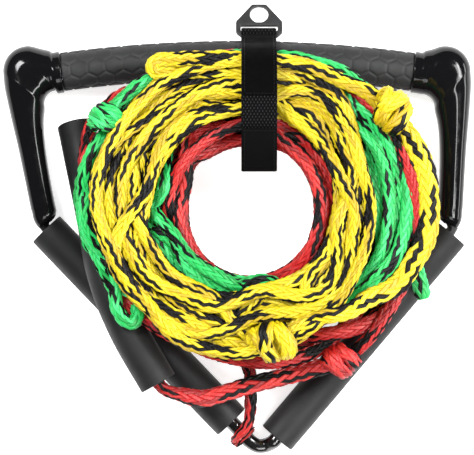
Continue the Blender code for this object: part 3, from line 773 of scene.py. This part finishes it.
def build_cords():
    tones = {"yellow": rope_materials("yellow_line", YELLOW_TONES),
             "green": rope_materials("green_line", GREEN_TONES),
             "red": rope_materials("red_line", RED_TONES)}
    tones["float"] = tones["red"]
    pile, float_path, ropes = lay_coil()
    paths = {colour: rope.finished() for colour, rope in ropes.items()}
    share = squeeze_map(pile)
    knots = {line: [] for line in LINES}
    for line, name, node_name, *sizes in KNOTS:
        knots[line].append(build_knot(name, node_name, LINES[line][0], tones[line], *sizes))
    for seed, (colour, rope) in enumerate(ropes.items()):
        path, local = squeezed(paths[colour], share)
        rng = np.random.default_rng(40 + seed)
        width = HALF_WIDTH + wander(rng, len(path), *WIDTH_WANDER)
        rolls = wander(rng, len(path), *ROLL_WANDER)
        thickness = HALF_THICKNESS * np.maximum(local, LEAST_THICKNESS)
        if rope.marks:                   # it is wider and lies flat between its marks
            first, last = rope.marks
            place = np.arange(len(path))
            thick = smoothed(np.where((place > first) & (place < last), 1.0, 0.0), 6)
            width = width + WIDENED * thick
            rolls = rolls * (1 - thick)
        start = np.clip(np.arange(len(path)) * SAMPLE / START_LENGTH, 0, 1)
        if colour == "red":              # drawn thin where it is hitched on the bridle
            width = width * (0.56 + 0.44 * start ** 3)
            thickness = thickness * (0.65 + 0.35 * start)
            rolls = rolls * start
        if colour == "green":            # its free end is spread
            width = width * (1.35 - 0.35 * start)
            rolls = rolls * start
        build_line(colour, path, tones[colour], 50 + seed, width, thickness, rolls)
    mouth = lengths_along(spline(MAIN_FLOAT_ROUTE, SAMPLE))[-1] - FLOAT_LEAD_DEPTH
    out = np.clip((lengths_along(float_path) - mouth - 0.010) / 0.014, 0, 1)
    build_line("float", float_path, tones["float"], 61,   # narrow inside the float
               0.0042 + 0.0018 * out, 0.0036 + 0.0005 * out)


# ---------------------------------------------------------------- meshes in rings
def new_object(name, mesh, *materials):
    for material in materials:
        mesh.materials.append(material)
    made = bpy.data.objects.new(name, mesh)
    bpy.context.scene.collection.objects.link(made)
    return made


def outward(mesh, merge=None):
    """Turns a mesh's faces outward, after merging points closer than merge."""
    bm = bmesh.new()
    bm.from_mesh(mesh)
    if merge:
        bmesh.ops.remove_doubles(bm, verts=bm.verts, dist=merge)
    bmesh.ops.recalc_face_normals(bm, faces=bm.faces)
    bm.to_mesh(mesh)
    bm.free()


def finish_piece(piece, body, slot, *nodes):
    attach(piece, body)
    if nodes:
        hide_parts(*nodes)


def ring_mesh(name, rings, material, loop=False, sharp=None):
    """A skin over rings of points (an array of rings, sides, 3), capped unless it is a loop.

    Its map, called Surface, runs round the rings and along them in metres.
    """
    count, sides = rings.shape[:2]
    index = np.arange(count * sides).reshape(count, sides)
    rows = index if not loop else np.vstack((index, index[:1]))
    nearby = np.roll(rows, -1, axis=1)
    quads = np.stack((rows[:-1], nearby[:-1], nearby[1:], rows[1:]), -1).reshape(-1, 4)
    faces = quads.tolist()
    if not loop:
        faces.append(index[0][::-1].tolist())
        faces.append(index[-1].tolist())
    mesh = bpy.data.meshes.new(name)
    mesh.from_pydata(rings.reshape(-1, 3).tolist(), [], faces)
    round_step = np.linalg.norm(rings - np.roll(rings, 1, axis=1), axis=2)
    around = np.concatenate((np.zeros((count, 1)), np.cumsum(round_step[:, 1:], axis=1),
                             round_step.sum(axis=1)[:, None]), axis=1)
    along = lengths_along(rings.mean(axis=1))
    if loop:
        around = np.vstack((around, around[:1]))
        along = np.concatenate((along, along[-1:]))
    u = np.stack((around[:-1, :-1], around[:-1, 1:], around[1:, 1:], around[1:, :-1]), -1)
    v = np.stack((along[:-1], along[:-1], along[1:], along[1:]), -1)[:, None, :] + 0 * u
    layer = mesh.uv_layers.new(name="Surface")
    values = np.zeros((len(mesh.loops), 2))
    values[:len(quads) * 4] = np.stack((u, v), -1).reshape(-1, 2)
    layer.data.foreach_set("uv", values.ravel())
    mesh.shade_smooth()
    if sharp is not None:
        mesh.set_sharp_from_angle(angle=math.radians(sharp))
    made = new_object(name, mesh, material)
    outward(mesh)
    return made


def round_rings(path, across, up, radius, sides):
    """Rings of points round a path. radius is one for each ring, or one for each point."""
    angle = 2 * math.pi * np.arange(sides) / sides
    radius = radius.reshape(len(path), -1)
    return (path[:, None, :] + across[:, None, :] * (radius * np.cos(angle))[..., None]
            + up[:, None, :] * (radius * np.sin(angle))[..., None])


MOUTH = ((0.0001, 0.0006), (0.0008, 0.0))        # depth in a sleeve's bore, and how much wider
BORE_END = 0.002                                 # the bore's own rings start this deep
WOBBLE_RINGS = 14


def sleeve(name, path, outer, inner, lip, sides, material, wobble, seed):
    """A hollow tube along a path, with rounded lips at both ends and an outside that wobbles."""
    _, across, up = rope_frames(path)
    along = lengths_along(path)
    turn = np.radians((0, 22, 45, 67, 90))
    start = [(lip * (1 - math.sin(a)), outer - lip * (1 - math.cos(a))) for a in turn[::-1]]
    middle = [(place, outer) for place in along[1:-1] if lip < place < along[-1] - lip]
    end = [(along[-1] - place, radius) for place, radius in start[::-1]]
    mouth = [(place, inner + wider) for place, wider in MOUTH]
    bore = [(along[-1] - place, radius) for place, radius in mouth]
    bore += [(place, inner) for place in along[-2:0:-6]
             if BORE_END < place < along[-1] - BORE_END]
    stations = np.array(start + middle + end + bore + mouth[::-1])
    places = np.clip(stations[:, 0], 0, along[-1])
    radius = stations[:, 1].copy()
    count = len(start + middle + end)
    radius[:count] += wander(np.random.default_rng(seed), count, WOBBLE_RINGS, wobble)
    rings = round_rings(resampled(places, along, path), resampled(places, along, across),
                        resampled(places, along, up), radius, sides)
    return ring_mesh(name, rings, material, True, 50)


# ---------------------------------------------------------------- grip, arms and floats
AXIS_Z = 0.016
GRIP_TOP_Y = 0.120
GRIP_BEND_RADIUS = 0.92
GRIP_RADIUS = 0.0138
GRIP_HALF_LENGTH = 0.1248
GRIP_LIP = 0.0008
GRIP_RINGS = 420
GRIP_SIDES = 144
SCALE_SPACING = 2 * math.pi * GRIP_RADIUS / (4 * math.sqrt(3))   # four rows of scales go round
SCALE_GROOVE = 0.00055
SCALE_GROOVE_WIDTH = 0.00080
LEFT_KNUCKLE_X = -0.1488
RIGHT_KNUCKLE_X = 0.1480
KNUCKLE_Y = 0.1120
KNUCKLE_RADIUS = 0.0180
COLLAR_RADIUS = 0.0149
COLLAR_LIP = 0.0008
COLLAR_STATIONS = (0.1249, 0.1255, 0.1272, 0.1298)
SHOULDER_MARGIN = 0.0003         # the looks stand this far over the CAD part
KNUCKLE_MARGIN = 0.0002
SHOULDER_RIBS = ((0.1340, 0.0166, 1.0), (0.1385, 0.0183, 4.0))   # along, above, inner turn
FILLET_RADIUS = 0.0090
FILLET_INSET = 0.0087
FILLET_RISE = -0.0010
LEFT_LEAN = math.radians(6.4)
RIGHT_LEAN = math.radians(-1.9)
ARM_STATIONS = (                 # outer: down, out; inner: down, out; half depth
    (0.010, 0.0183, 0.028, -0.0086, 0.0150),
    (0.024, 0.0170, 0.036, -0.0070, 0.0142),
    (0.038, 0.0154, 0.046, -0.0061, 0.0134),
    (0.053, 0.0136, 0.057, -0.0060, 0.0127),
    (0.068, 0.0121, 0.070, -0.0065, 0.0120),
    (0.083, 0.0107, 0.084, -0.0074, 0.0113),
    (0.097, 0.0094, 0.097, -0.0085, 0.0107),
)
ARM_TIP_DOWN = 0.1000
ARM_TIP_HALF_WIDTH = 0.0089
ARM_TIP_HALF_DEPTH = 0.0104
ARM_TIP_SLANT = 0.0055           # the tip's outer side runs on, along the float's end
ARM_ROUNDNESS = 2.7
ARM_SIDES = 56
RIDGE = 0.045                    # shares of the arm's half depth and half width
RIDGE_WIDTH = 0.16
ARM_MOUTH = ((-0.0003, 0.92), (0.0004, 0.82), (0.0140, 0.80))    # depth in the tip, share of its size
FLOAT_RADIUS = 0.0135
FLOAT_BORE = 0.0058
MAIN_FLOAT_BORE = 0.0067
FLOAT_Z = 0.0136
FLOAT_LIP = 0.0009
FLOAT_WOBBLE = 0.00006
FLOAT_STEP = 0.0012
FLOAT_SIDES = 96
LEFT_FLOAT_ENDS = ((-0.1363, -0.0003), (-0.0042, -0.1379))
RIGHT_FLOAT_ENDS = ((0.1517, -0.0032), (0.0280, -0.1493))
STRAIGHT_BEYOND_FLOAT = 0.0060
STRAIGHT_BEFORE_FOLD = 0.0030
SHEATH_INSIDE_FLOAT = 0.0180
SHEATH_RADIUS = 0.0052
SHEATH_BORE = 0.0044
SHEATH_LIP = 0.0003
SHEATH_WOBBLE = 0.00014
SHEATH_STEP = 0.0008
SHEATH_SIDES = 48
APEX_Z = 0.0095
APEX_POINTS = ((0.0043, -0.1469), (0.0090, -0.1519), (0.0148, -0.1552), (0.0210, -0.1545))


def grip_point(x):
    return np.array((x, GRIP_TOP_Y - x * x / (2 * GRIP_BEND_RADIUS), AXIS_Z))


def scale_grooves(along, around):
    """Depth of the hexagonal scales' outlines pressed into the grip."""
    a = SCALE_SPACING
    height = a * math.sqrt(3)
    best = None
    for shift in (0.0, 0.5):
        x = along / a - shift
        y = around / height - shift
        dx = (x - np.rint(x)) * a + 0 * around
        dy = (y - np.rint(y)) * height + 0 * along
        away = np.maximum.reduce([np.abs(dx), np.abs(dx / 2 + dy * math.sqrt(3) / 2),
                                  np.abs(dx / 2 - dy * math.sqrt(3) / 2)])
        best = away if best is None else np.minimum(best, away)
    edge = a / 2 - best
    return SCALE_GROOVE * np.exp(-(edge / SCALE_GROOVE_WIDTH) ** 2)


def build_grip(material):
    half = GRIP_HALF_LENGTH
    path = np.array([grip_point(x) for x in np.linspace(-half, half, GRIP_RINGS)])
    _, across, up = rope_frames(path)
    along = lengths_along(path)
    angle = 2 * math.pi * np.arange(GRIP_SIDES) / GRIP_SIDES
    grooves = scale_grooves(along[:, None], (angle * GRIP_RADIUS)[None, :])
    from_end = np.minimum(along, along[-1] - along)
    inside_lip = np.maximum(GRIP_LIP - from_end, 0)
    rounding = GRIP_LIP - np.sqrt(np.maximum(GRIP_LIP ** 2 - inside_lip ** 2, 0))
    rings = round_rings(path, across, up, GRIP_RADIUS - grooves - rounding[:, None], GRIP_SIDES)
    finish_piece(ring_mesh("grip_cover", rings, material), "handle", "grip_rubber", "grip_sleeve")


def arm_ribs(side, lean):
    """Outer point, inner point and half depth from the collar's mouth to the rounded tip."""
    knuckle = np.array((RIGHT_KNUCKLE_X if side > 0 else LEFT_KNUCKLE_X, KNUCKLE_Y, AXIS_Z))
    down = np.array((-side * math.sin(lean), -math.cos(lean), 0.0))
    out = np.array((side * math.cos(lean), -math.sin(lean), 0.0))
    ribs = []
    for index, x in enumerate(COLLAR_STATIONS):
        centre = grip_point(side * x)
        normal = np.array((side * x / GRIP_BEND_RADIUS, 1.0, 0.0))
        normal /= np.linalg.norm(normal)
        radius = COLLAR_RADIUS - (COLLAR_LIP if index == 0 else 0.0)
        ribs.append((centre + normal * radius, centre - normal * radius, radius))
    corner = knuckle - out * (FILLET_INSET + FILLET_RADIUS)
    corner = corner + down * (COLLAR_RADIUS + FILLET_RADIUS - FILLET_RISE)

    def turned(degrees):
        return out * math.sin(math.radians(degrees)) - down * math.cos(math.radians(degrees))

    for along, above, degrees in SHOULDER_RIBS:
        shoulder = grip_point(side * along) + np.array((0.0, above, 0.0))
        ribs.append((shoulder, corner + turned(degrees) * FILLET_RADIUS,
                     COLLAR_RADIUS + SHOULDER_MARGIN))
    for share in np.linspace(0, 1, 10):
        depth = COLLAR_RADIUS + (AXIS_Z - COLLAR_RADIUS) * math.sin(math.pi * min(0.5, share + 0.1))
        ribs.append((knuckle + turned(100 * share - 10) * (KNUCKLE_RADIUS + KNUCKLE_MARGIN),
                     corner + turned(83 * share + 7) * FILLET_RADIUS, depth))
    for outer_down, outer_out, inner_down, inner_out, depth in ARM_STATIONS:
        ribs.append((knuckle + down * outer_down + out * outer_out,
                     knuckle + down * inner_down + out * inner_out, depth))
    tip = []
    for turn in np.radians((0.0, 20.0, 38.0, 54.0)):
        centre = knuckle + down * (ARM_TIP_DOWN + ARM_TIP_HALF_WIDTH * math.sin(turn))
        half = out * (ARM_TIP_HALF_WIDTH * math.cos(turn))
        tip.append((centre + half + down * (ARM_TIP_SLANT * math.sin(turn)), centre - half,
                    ARM_TIP_HALF_DEPTH * math.cos(turn)))
    return ribs, tip, down


def arm_ring(outer, inner, depth, ridge, roundness=ARM_ROUNDNESS):
    """A ring between the arm's outer and inner edge. The ridge runs along its upper side."""
    across = outer - inner
    width = np.linalg.norm(across)
    angle = 2 * math.pi * np.arange(ARM_SIDES) / ARM_SIDES
    wide, high = (np.sign(wave) * np.abs(wave) ** (2.0 / roundness)
                  for wave in (np.cos(angle), np.sin(angle)))
    high = high + ridge * np.exp(-(wide / RIDGE_WIDTH) ** 2) * np.maximum(high, 0)
    return ((outer + inner) / 2 + (across / width)[None, :] * (wide * width / 2)[:, None]
            + UP[None, :] * (high * depth)[:, None])


def rising(share, start, length):
    return min(1.0, max(0.0, (share - start) / length))


def build_arm(name, side, lean, material):
    ribs, tip, down = arm_ribs(side, lean)
    body = through(np.array([(*outer, *inner, depth) for outer, inner, depth in ribs + tip]), 6)
    rings = []
    for step, row in enumerate(body):
        share = step / (len(body) - 1)
        ridge = RIDGE * rising(share, 0.42, 0.12) * min(1.0, (1 - share) / 0.10)
        roundness = 2 + (ARM_ROUNDNESS - 2) * rising(share, 0.18, 0.2)
        rings.append(arm_ring(row[:3], row[3:6], row[6], ridge, roundness))
    outer, inner, depth = tip[-1]
    for inward, share in ARM_MOUTH:
        half = (outer - inner) / 2 * share
        centre = (outer + inner) / 2 - down * inward
        rings.append(arm_ring(centre + half, centre - half, depth * share, 0.0))
    made = ring_mesh(name + "_shell", np.array(rings), material, sharp=55)
    finish_piece(made, "handle", "arm_plastic", name)


def build_floats(material):
    paths = {name: evenly(np.array([(*point, FLOAT_Z) for point in ends]), FLOAT_STEP)
             for name, ends in (("left_float", LEFT_FLOAT_ENDS), ("right_float", RIGHT_FLOAT_ENDS))}
    paths["main_float"] = spline(MAIN_FLOAT_ROUTE, FLOAT_STEP)
    for name, bore, seed in (("left_float", FLOAT_BORE, 10), ("right_float", FLOAT_BORE, 11),
                             ("main_float", MAIN_FLOAT_BORE, 3)):
        made = sleeve(name + "_foam", paths[name], FLOAT_RADIUS, bore, FLOAT_LIP, FLOAT_SIDES,
                      material, FLOAT_WOBBLE, seed)
        finish_piece(made, name, "float_foam", name)


def build_sheath(material):
    """The vinyl sleeve over the bridle's apex, a little wrinkled where it bends."""
    ends = []
    for (top, low), beyond in ((LEFT_FLOAT_ENDS, STRAIGHT_BEYOND_FLOAT),
                               (RIGHT_FLOAT_ENDS, STRAIGHT_BEFORE_FOLD)):
        top = np.array((*top, FLOAT_Z))
        low = np.array((*low, FLOAT_Z))
        down = (low - top) / np.linalg.norm(low - top)
        ends.append([low - down * SHEATH_INSIDE_FLOAT, low, low + down * beyond])
    apex = [np.array((*point, APEX_Z)) for point in APEX_POINTS]
    path = spline([*ends[0], *apex, *ends[1][::-1]], SHEATH_STEP)
    made = sleeve("apex_sheath_skin", path, SHEATH_RADIUS, SHEATH_BORE, SHEATH_LIP, SHEATH_SIDES,
                  material, SHEATH_WOBBLE, 9)
    finish_piece(made, "handle", "vinyl", "apex_sheath")


# ---------------------------------------------------------------- strap and hanger
ACROSS_STRAP = np.array((1.0, 0.0, 0.0))
STRAP_STEP = 0.0007
RIBBON_COLUMNS = 25
RIBBON_FLAT = 0.94               # share of the band's width that is flat; the edges are round
RIBBON_EDGE = 0.06
RIBBON_EDGE_THICKNESS = 0.25
PATCH_THICKNESS = 0.0008
PATCH_RANGE = (0.0925, 0.1345)
PATCH_LOWEST = 0.0220
PATCH_INSET = 0.0006
TAB_RANGE = (0.0423, 0.0709)
HOOK_RANGE = (0.0425, 0.0696)
GAP = 0.0003
STITCH_PITCH = 0.0026
STITCH_INSET = 0.0016
THREAD_RADIUS = 0.00028
THREAD_SIDES = 6
BAR_CENTRE = (0.1384, 0.0113)
BAR_WRAP_RADIUS = 0.0039
HANGER_TILT = math.radians(-23.6)
STRAP_BACK_ROUTE = (
    (0.0418, 0.0600), (0.0440, 0.0545), (0.0490, 0.0460), (0.0540, 0.0375),
    (0.0600, 0.0318), (0.0680, 0.0293), (0.0780, 0.0284), (0.0880, 0.0262),
    (0.0970, 0.0200),
)
GRIP_WRAP_RADIUS = 0.0151
HANGER_THICKNESS = 0.0030
HANGER_BEVEL = 0.0005
HANGER_SHIFT = 0.0003
HANGER_OUTLINE = ((0.0126, -0.0024), (0.0166, 0.0012), (0.0166, 0.0098), (0.0050, 0.0236))
SLOT_HALF_WIDTH = 0.0133
SLOT_RANGE = (0.0024, 0.0066)
HANG_HOLE_RADIUS = 0.0066
HANG_HOLE_UP = 0.0156
HANG_HOLE_FLAT = 0.0063


def webbing_material(name, dark, light, rows, columns, depth):
    """Woven tape: rows across it and columns along it, from the ribbon's own map in metres. Its colour
    rises from dark to light on the threads' crowns: painted highlights on the weave.
    """
    made = plain_material(name, dark, 0.70, Specular_IOR_Level=0.03)
    surface = node(made, "ShaderNodeUVMap", uv_map="Surface").outputs["UV"]
    parts = node(made, "ShaderNodeSeparateXYZ", {"Vector": surface})
    waves = [calculated(made, "SINE", calculated(made, "MULTIPLY", parts.outputs[output],
                                                 2 * math.pi / spacing))
             for output, spacing in (("X", columns), ("Y", rows))]
    weave_and_highlight = calculated(made, "MULTIPLY", *waves)
    # painted highlights: the lighter colour sits where the weave's threads crown, the darker in between
    add_tones(made, weave_and_highlight, dark, 0.40, light, 0.95)
    add_bump(made, weave_and_highlight, 0.8, depth)
    return made


def circle_points(centre, radius, start, end, steps):
    angles = np.radians(np.linspace(start, end, steps + 1))
    return [(centre[0] + radius * math.cos(a), centre[1] + radius * math.sin(a)) for a in angles]


def strap_route(points):
    return spline([(STRAP_X, y, z) for y, z in points], STRAP_STEP)


def ribbon_rings(route, half_width, thickness, lift):
    """Rings of a flat band with rounded edges along a route in the plane across X."""
    along = np.gradient(route, axis=0)
    along /= np.linalg.norm(along, axis=1)[:, None]
    normal = np.cross(ACROSS_STRAP, along)
    middle = route - normal * lift
    places = np.linspace(-1, 1, RIBBON_COLUMNS)
    past_flat = np.maximum(np.abs(places) - RIBBON_FLAT, 0)
    round_edge = np.sqrt(np.maximum(1 - past_flat ** 2 / RIBBON_EDGE ** 2, 0.0))
    half = thickness / 2 * np.maximum(round_edge, RIBBON_EDGE_THICKNESS)
    x = places * half_width
    outline = np.vstack((np.stack((x, half), 1), np.stack((x[::-1], -half[::-1]), 1)))
    return (middle[:, None, :] + ACROSS_STRAP[None, None, :] * outline[None, :, :1]
            - normal[:, None, :] * outline[None, :, 1:])


def between(route, low_y, high_y):
    inside = (route[:, 1] >= low_y) & (route[:, 1] <= high_y)
    return route[inside]


def build_band(name, route, half_width, thickness, lift, material, body, slot, node_name):
    made = ring_mesh(name, ribbon_rings(route, half_width, thickness, lift), material, sharp=60)
    finish_piece(made, body, slot, node_name)


def build_stitches(name, route, half_width, lift, material, body):
    """Two rows of short thread stitches along a band, and one across each end."""
    along = lengths_along(route)
    slope = np.gradient(route, axis=0)
    normal = np.cross(slope, ACROSS_STRAP)
    normal /= np.linalg.norm(normal, axis=1)[:, None]
    points = []
    faces = []

    def stitch(place, x, direction=None):
        """One stitch beside the route's nearest point, along the route or in a direction."""
        k = int(np.argmin(np.abs(along - place)))
        if direction is None:
            direction = slope[k] / np.linalg.norm(slope[k])
        out = normal[k]
        centre = route[k] + np.array((x, 0, 0)) + out * lift
        side = np.cross(direction, out)
        base = len(points)
        for part, size in ((-0.45, 0.3), (-0.25, 0.9), (0.25, 0.9), (0.45, 0.3)):
            for angle in 2 * math.pi * np.arange(THREAD_SIDES) / THREAD_SIDES:
                points.append(centre + direction * STITCH_PITCH * part
                              + (side * math.cos(angle) + out * math.sin(angle) * 0.7)
                              * THREAD_RADIUS * size)
        ring = [base + index for index in range(THREAD_SIDES)]
        for row in (0, THREAD_SIDES, 2 * THREAD_SIDES):
            for here, following in zip(ring, ring[1:] + ring[:1]):
                faces.append((here + row, following + row, following + row + THREAD_SIDES,
                              here + row + THREAD_SIDES))
        faces.append(ring[::-1])
        faces.append([index + 3 * THREAD_SIDES for index in ring])

    edge = half_width - STITCH_INSET
    for place in np.arange(STITCH_INSET, along[-1] - STITCH_INSET, STITCH_PITCH):
        stitch(place, -edge)
        stitch(place, edge)
    for place in (STITCH_INSET, along[-1] - STITCH_INSET):
        for x in np.arange(-half_width + 2 * STITCH_INSET, edge, STITCH_PITCH):
            stitch(place, x, ACROSS_STRAP)
    mesh = bpy.data.meshes.new(name)
    mesh.from_pydata([tuple(point) for point in points], [], faces)
    mesh.shade_smooth()
    made = new_object(name, mesh, material)
    outward(mesh)
    finish_piece(made, body, "webbing")


def build_strap():
    # the second colour of each webbing is a painted highlight on its thread crowns
    web = webbing_material("webbing_look", (0.0028, 0.0028, 0.003), (0.030, 0.030, 0.032), 0.0040,
                           0.0024, 0.0006)
    fine_web = webbing_material("fine_webbing_look", (0.0026, 0.0026, 0.0028),
                                (0.0045, 0.0045, 0.0048), 0.0010, 0.0012, 0.0002)
    loops = grained_material("patch", (0.0016, 0.0016, 0.0018), 0.85, 0.02,
                             (3200.0, 0.5, 0.0003, 4.0), (160.0, 0.70, 0.88))
    thread = grained_material("thread", (0.004, 0.004, 0.0043), 0.7, 0.10, (2000.0, 0.3, 0.0002, 3.0))
    tilt = math.degrees(HANGER_TILT)
    grip = (grip_point(STRAP_X)[1], AXIS_Z)
    front = strap_route(circle_points(BAR_CENTRE, BAR_WRAP_RADIUS, tilt + 2, 100, 6)
                        + list(STRAP_FRONT_ROUTE))
    back = strap_route(list(STRAP_BACK_ROUTE) + circle_points(grip, GRIP_WRAP_RADIUS, 206, 292, 7)
                       + circle_points(BAR_CENTRE, BAR_WRAP_RADIUS, -100, tilt - 9, 4))
    for name, route in (("strap_front", front), ("strap_back", back)):
        build_band(name + "_web", route, STRAP_HALF_WIDTH, WEB_THICKNESS, 0.0, web, "handle",
                   "webbing", name)
    lift = WEB_THICKNESS / 2 + GAP + PATCH_THICKNESS / 2
    tab_lift = lift + PATCH_THICKNESS / 2 + GAP + WEB_THICKNESS / 2
    half = STRAP_HALF_WIDTH - PATCH_INSET
    patch_route = between(front, *PATCH_RANGE)
    patch_route = patch_route[patch_route[:, 2] > PATCH_LOWEST]
    tab_route = between(front, *TAB_RANGE)
    build_band("strap_loop_patch", patch_route, half, PATCH_THICKNESS, lift, loops, "handle",
               "hook_and_loop", "strap_patch")
    build_stitches("patch_stitches", patch_route, half, lift + PATCH_THICKNESS / 2, thread, "handle")
    build_band("tab_hook_band", between(front, *HOOK_RANGE), half, PATCH_THICKNESS, lift, loops,
               "strap_tab", "hook_and_loop", "tab_hook_patch")
    build_band("strap_tab_web", tab_route, STRAP_HALF_WIDTH, WEB_THICKNESS, tab_lift, fine_web,
               "strap_tab", "webbing", "strap_tab")
    build_stitches("tab_stitches", tab_route, half, tab_lift + WEB_THICKNESS / 2, thread, "strap_tab")


def rounded(corners, radius, steps=6):
    """A closed outline with its corners rounded by arcs."""
    result = []
    corners = np.array(corners)
    for here, before, after in zip(corners, np.roll(corners, 1, axis=0), np.roll(corners, -1, axis=0)):
        sides = (before - here, after - here)
        lengths = [np.linalg.norm(side) for side in sides]
        before, after = (side / length for side, length in zip(sides, lengths))
        half_angle = math.acos(max(-1.0, min(1.0, float(before @ after)))) / 2
        size = min(radius / math.tan(half_angle), 0.45 * lengths[0], 0.45 * lengths[1])
        start = here + before * size
        end = here + after * size
        for t in np.linspace(0, 1, steps):
            result.append(tuple((1 - t) ** 2 * start + 2 * t * (1 - t) * here + t * t * end))
    return result


def build_hanger(material):
    outline = list(HANGER_OUTLINE) + [(-x, y) for x, y in reversed(HANGER_OUTLINE)]
    slot_low, slot_high = SLOT_RANGE     # the webbing fills its lower part
    slot = [(-SLOT_HALF_WIDTH, slot_low), (SLOT_HALF_WIDTH, slot_low),
            (SLOT_HALF_WIDTH, slot_high), (-SLOT_HALF_WIDTH, slot_high)]
    flat = math.asin(HANG_HOLE_FLAT / HANG_HOLE_RADIUS)
    hole = [(HANG_HOLE_RADIUS * math.cos(a), HANG_HOLE_UP + HANG_HOLE_RADIUS * math.sin(a))
            for a in np.linspace(-flat, math.pi + flat, 40)]
    curve = bpy.data.curves.new("hanger_outline", "CURVE")
    curve.dimensions = "2D"
    curve.fill_mode = "BOTH"
    curve.extrude = HANGER_THICKNESS / 2 - HANGER_BEVEL
    curve.bevel_depth = HANGER_BEVEL
    curve.bevel_resolution = 3
    curve.offset = -HANGER_BEVEL
    for points in (rounded(outline, 0.0030), rounded(slot, 0.0012), rounded(hole, 0.0004, 2)):
        path = curve.splines.new("POLY")
        path.points.add(len(points) - 1)
        path.use_cyclic_u = True
        for place, point in zip(path.points, points):
            place.co = (*point, 0.0, 1.0)
    shape = bpy.data.objects.new("hanger_shape", curve)
    bpy.context.scene.collection.objects.link(shape)
    bpy.context.view_layer.update()
    mesh = bpy.data.meshes.new_from_object(shape.evaluated_get(bpy.context.evaluated_depsgraph_get()))
    bpy.data.objects.remove(shape)
    up = Vector((0.0, math.cos(HANGER_TILT), math.sin(HANGER_TILT)))
    matrix = Matrix((Vector((1, 0, 0)), up, Vector((1, 0, 0)).cross(up))).transposed().to_4x4()
    matrix.translation = Vector((STRAP_X + HANGER_SHIFT, *BAR_CENTRE))
    mesh.transform(matrix)
    outward(mesh, merge=0.00002)
    mesh.shade_smooth()
    mesh.set_sharp_from_angle(angle=math.radians(30))
    mesh.materials.clear()
    finish_piece(new_object("hanger_plate", mesh, material), "hanger", "hanger_plastic", "hanger")


def dress_cad_parts():
    """Gives the CAD parts that stay, inside other pieces, their finished materials."""
    alloy = grained_material("aluminium", (0.75, 0.76, 0.78), 0.3, 0.5, (500.0, 0.12, 0.0002, 3.0),
                             stretch=(1.0, 30.0, 30.0), Metallic=1.0)
    foam = grained_material("core_foam", (0.80, 0.79, 0.74), 0.9, 0.5, (900.0, 0.4, 0.0004, 3.0))
    cord = grained_material("bridle_cord", (0.012, 0.012, 0.013), 0.6, 0.5, (1200.0, 0.5, 0.0004, 3.0))
    for name, material in (("handle_tube", alloy), ("tube_foam_core", foam), ("bridle_rope", cord),
                           ("left_stop_knot", cord), ("right_stop_knot", cord)):
        data = NODES[name].data
        data.materials.clear()
        data.materials.append(material)


# ---------------------------------------------------------------- studio
LIGHTS = (                           # name, place, size and power
    ("key", (-0.9, 0.9, 1.9), (0.6, 0.6), 52.0),
    ("fill", (1.1, 0.6, 1.8), (0.6, 0.6), 26.0),
    ("low", (0.2, -1.5, 1.5), (0.8, 0.8), 16.0),
    ("strip", (1.5, 0.0, 0.45), (1.8, 0.3), 26.0),
    ("streak", (0.9, -0.1, 1.5), (2.2, 0.2), 40.0),
)


def build_studio():
    scene = bpy.context.scene
    scene.view_settings.view_transform = "Standard"
    camera_data = bpy.data.cameras.new("camera")
    camera_data.lens = 300
    camera_data.sensor_width = 36
    camera = bpy.data.objects.new("camera", camera_data)
    camera.location = (-0.0003, 0.0007, 2.830)
    scene.collection.objects.link(camera)
    scene.camera = camera
    world = bpy.data.worlds.new("studio")
    world.use_nodes = True
    background = world.node_tree.nodes["Background"]
    background.inputs["Color"].default_value = (1.0, 1.0, 1.0, 1.0)
    rays = node(world, "ShaderNodeLightPath")
    strength = node(world, "ShaderNodeMapRange", {
        "Value": rays.outputs["Is Glossy Ray"],
        "To Min": 0.66,                  # what lights the surfaces
        "To Max": 0.10,                  # what gloss reflects: a dark studio
    })
    link(world, strength.outputs["Result"], background.inputs["Strength"])
    scene.world = world
    for name, place, size, power in LIGHTS:
        data = bpy.data.lights.new(name, "AREA")
        data.shape = "RECTANGLE"
        data.size, data.size_y = size
        data.energy = power
        light = bpy.data.objects.new(name, data)
        light.location = place
        light.rotation_euler = (-Vector(place)).to_track_quat("-Z", "Y").to_euler()
        light.visible_diffuse = name != "streak"        # only a long highlight on gloss
        scene.collection.objects.link(light)
    mesh = bpy.data.meshes.new("floor")
    half = 3.0
    mesh.from_pydata([(-half, -half, 0), (half, -half, 0), (half, half, 0), (-half, half, 0)], [],
                     [(0, 1, 2, 3)])
    white = plain_material("floor", (0.90, 0.90, 0.90), 0.9, Specular_IOR_Level=0.0,
                           Emission_Color=(1.0, 1.0, 1.0, 1.0), Emission_Strength=0.70)
    new_object("floor", mesh, white)


build_studio()
build_cords()
build_grip(grained_material(
    "grip_rubber", (0.013, 0.013, 0.014), 0.62, 0.35, (2600.0, 0.35, 0.0003, 3.0),
    (90.0, 0.54, 0.70), (55.0, (0.011, 0.011, 0.012), (0.016, 0.016, 0.017))))
gloss = grained_material("arm_plastic", (0.0035, 0.0035, 0.004), 0.10, 0.20,
                         (70.0, 0.10, 0.0006, 2.0), (160.0, 0.07, 0.16))
build_arm("left_arm", -1, LEFT_LEAN, gloss)
build_arm("right_arm", 1, RIGHT_LEAN, gloss)
build_floats(grained_material(
    "float_foam", (0.016, 0.016, 0.017), 0.52, 0.26, (1700.0, 0.30, 0.0004, 4.0),
    (45.0, 0.47, 0.62), (26.0, (0.006, 0.006, 0.0065), (0.010, 0.010, 0.0107))))
build_sheath(grained_material(
    "vinyl", (0.004, 0.004, 0.004), 0.16, 0.6, (320.0, 0.20, 0.0004, 2.0), (240.0, 0.12, 0.24),
    Coat_Weight=0.5, Coat_Roughness=0.08))
build_strap()
build_hanger(grained_material("hanger_plastic", (0.020, 0.020, 0.021), 0.42, 0.35,
                              (1500.0, 0.22, 0.0002, 3.0), (130.0, 0.34, 0.50)))
dress_cad_parts()
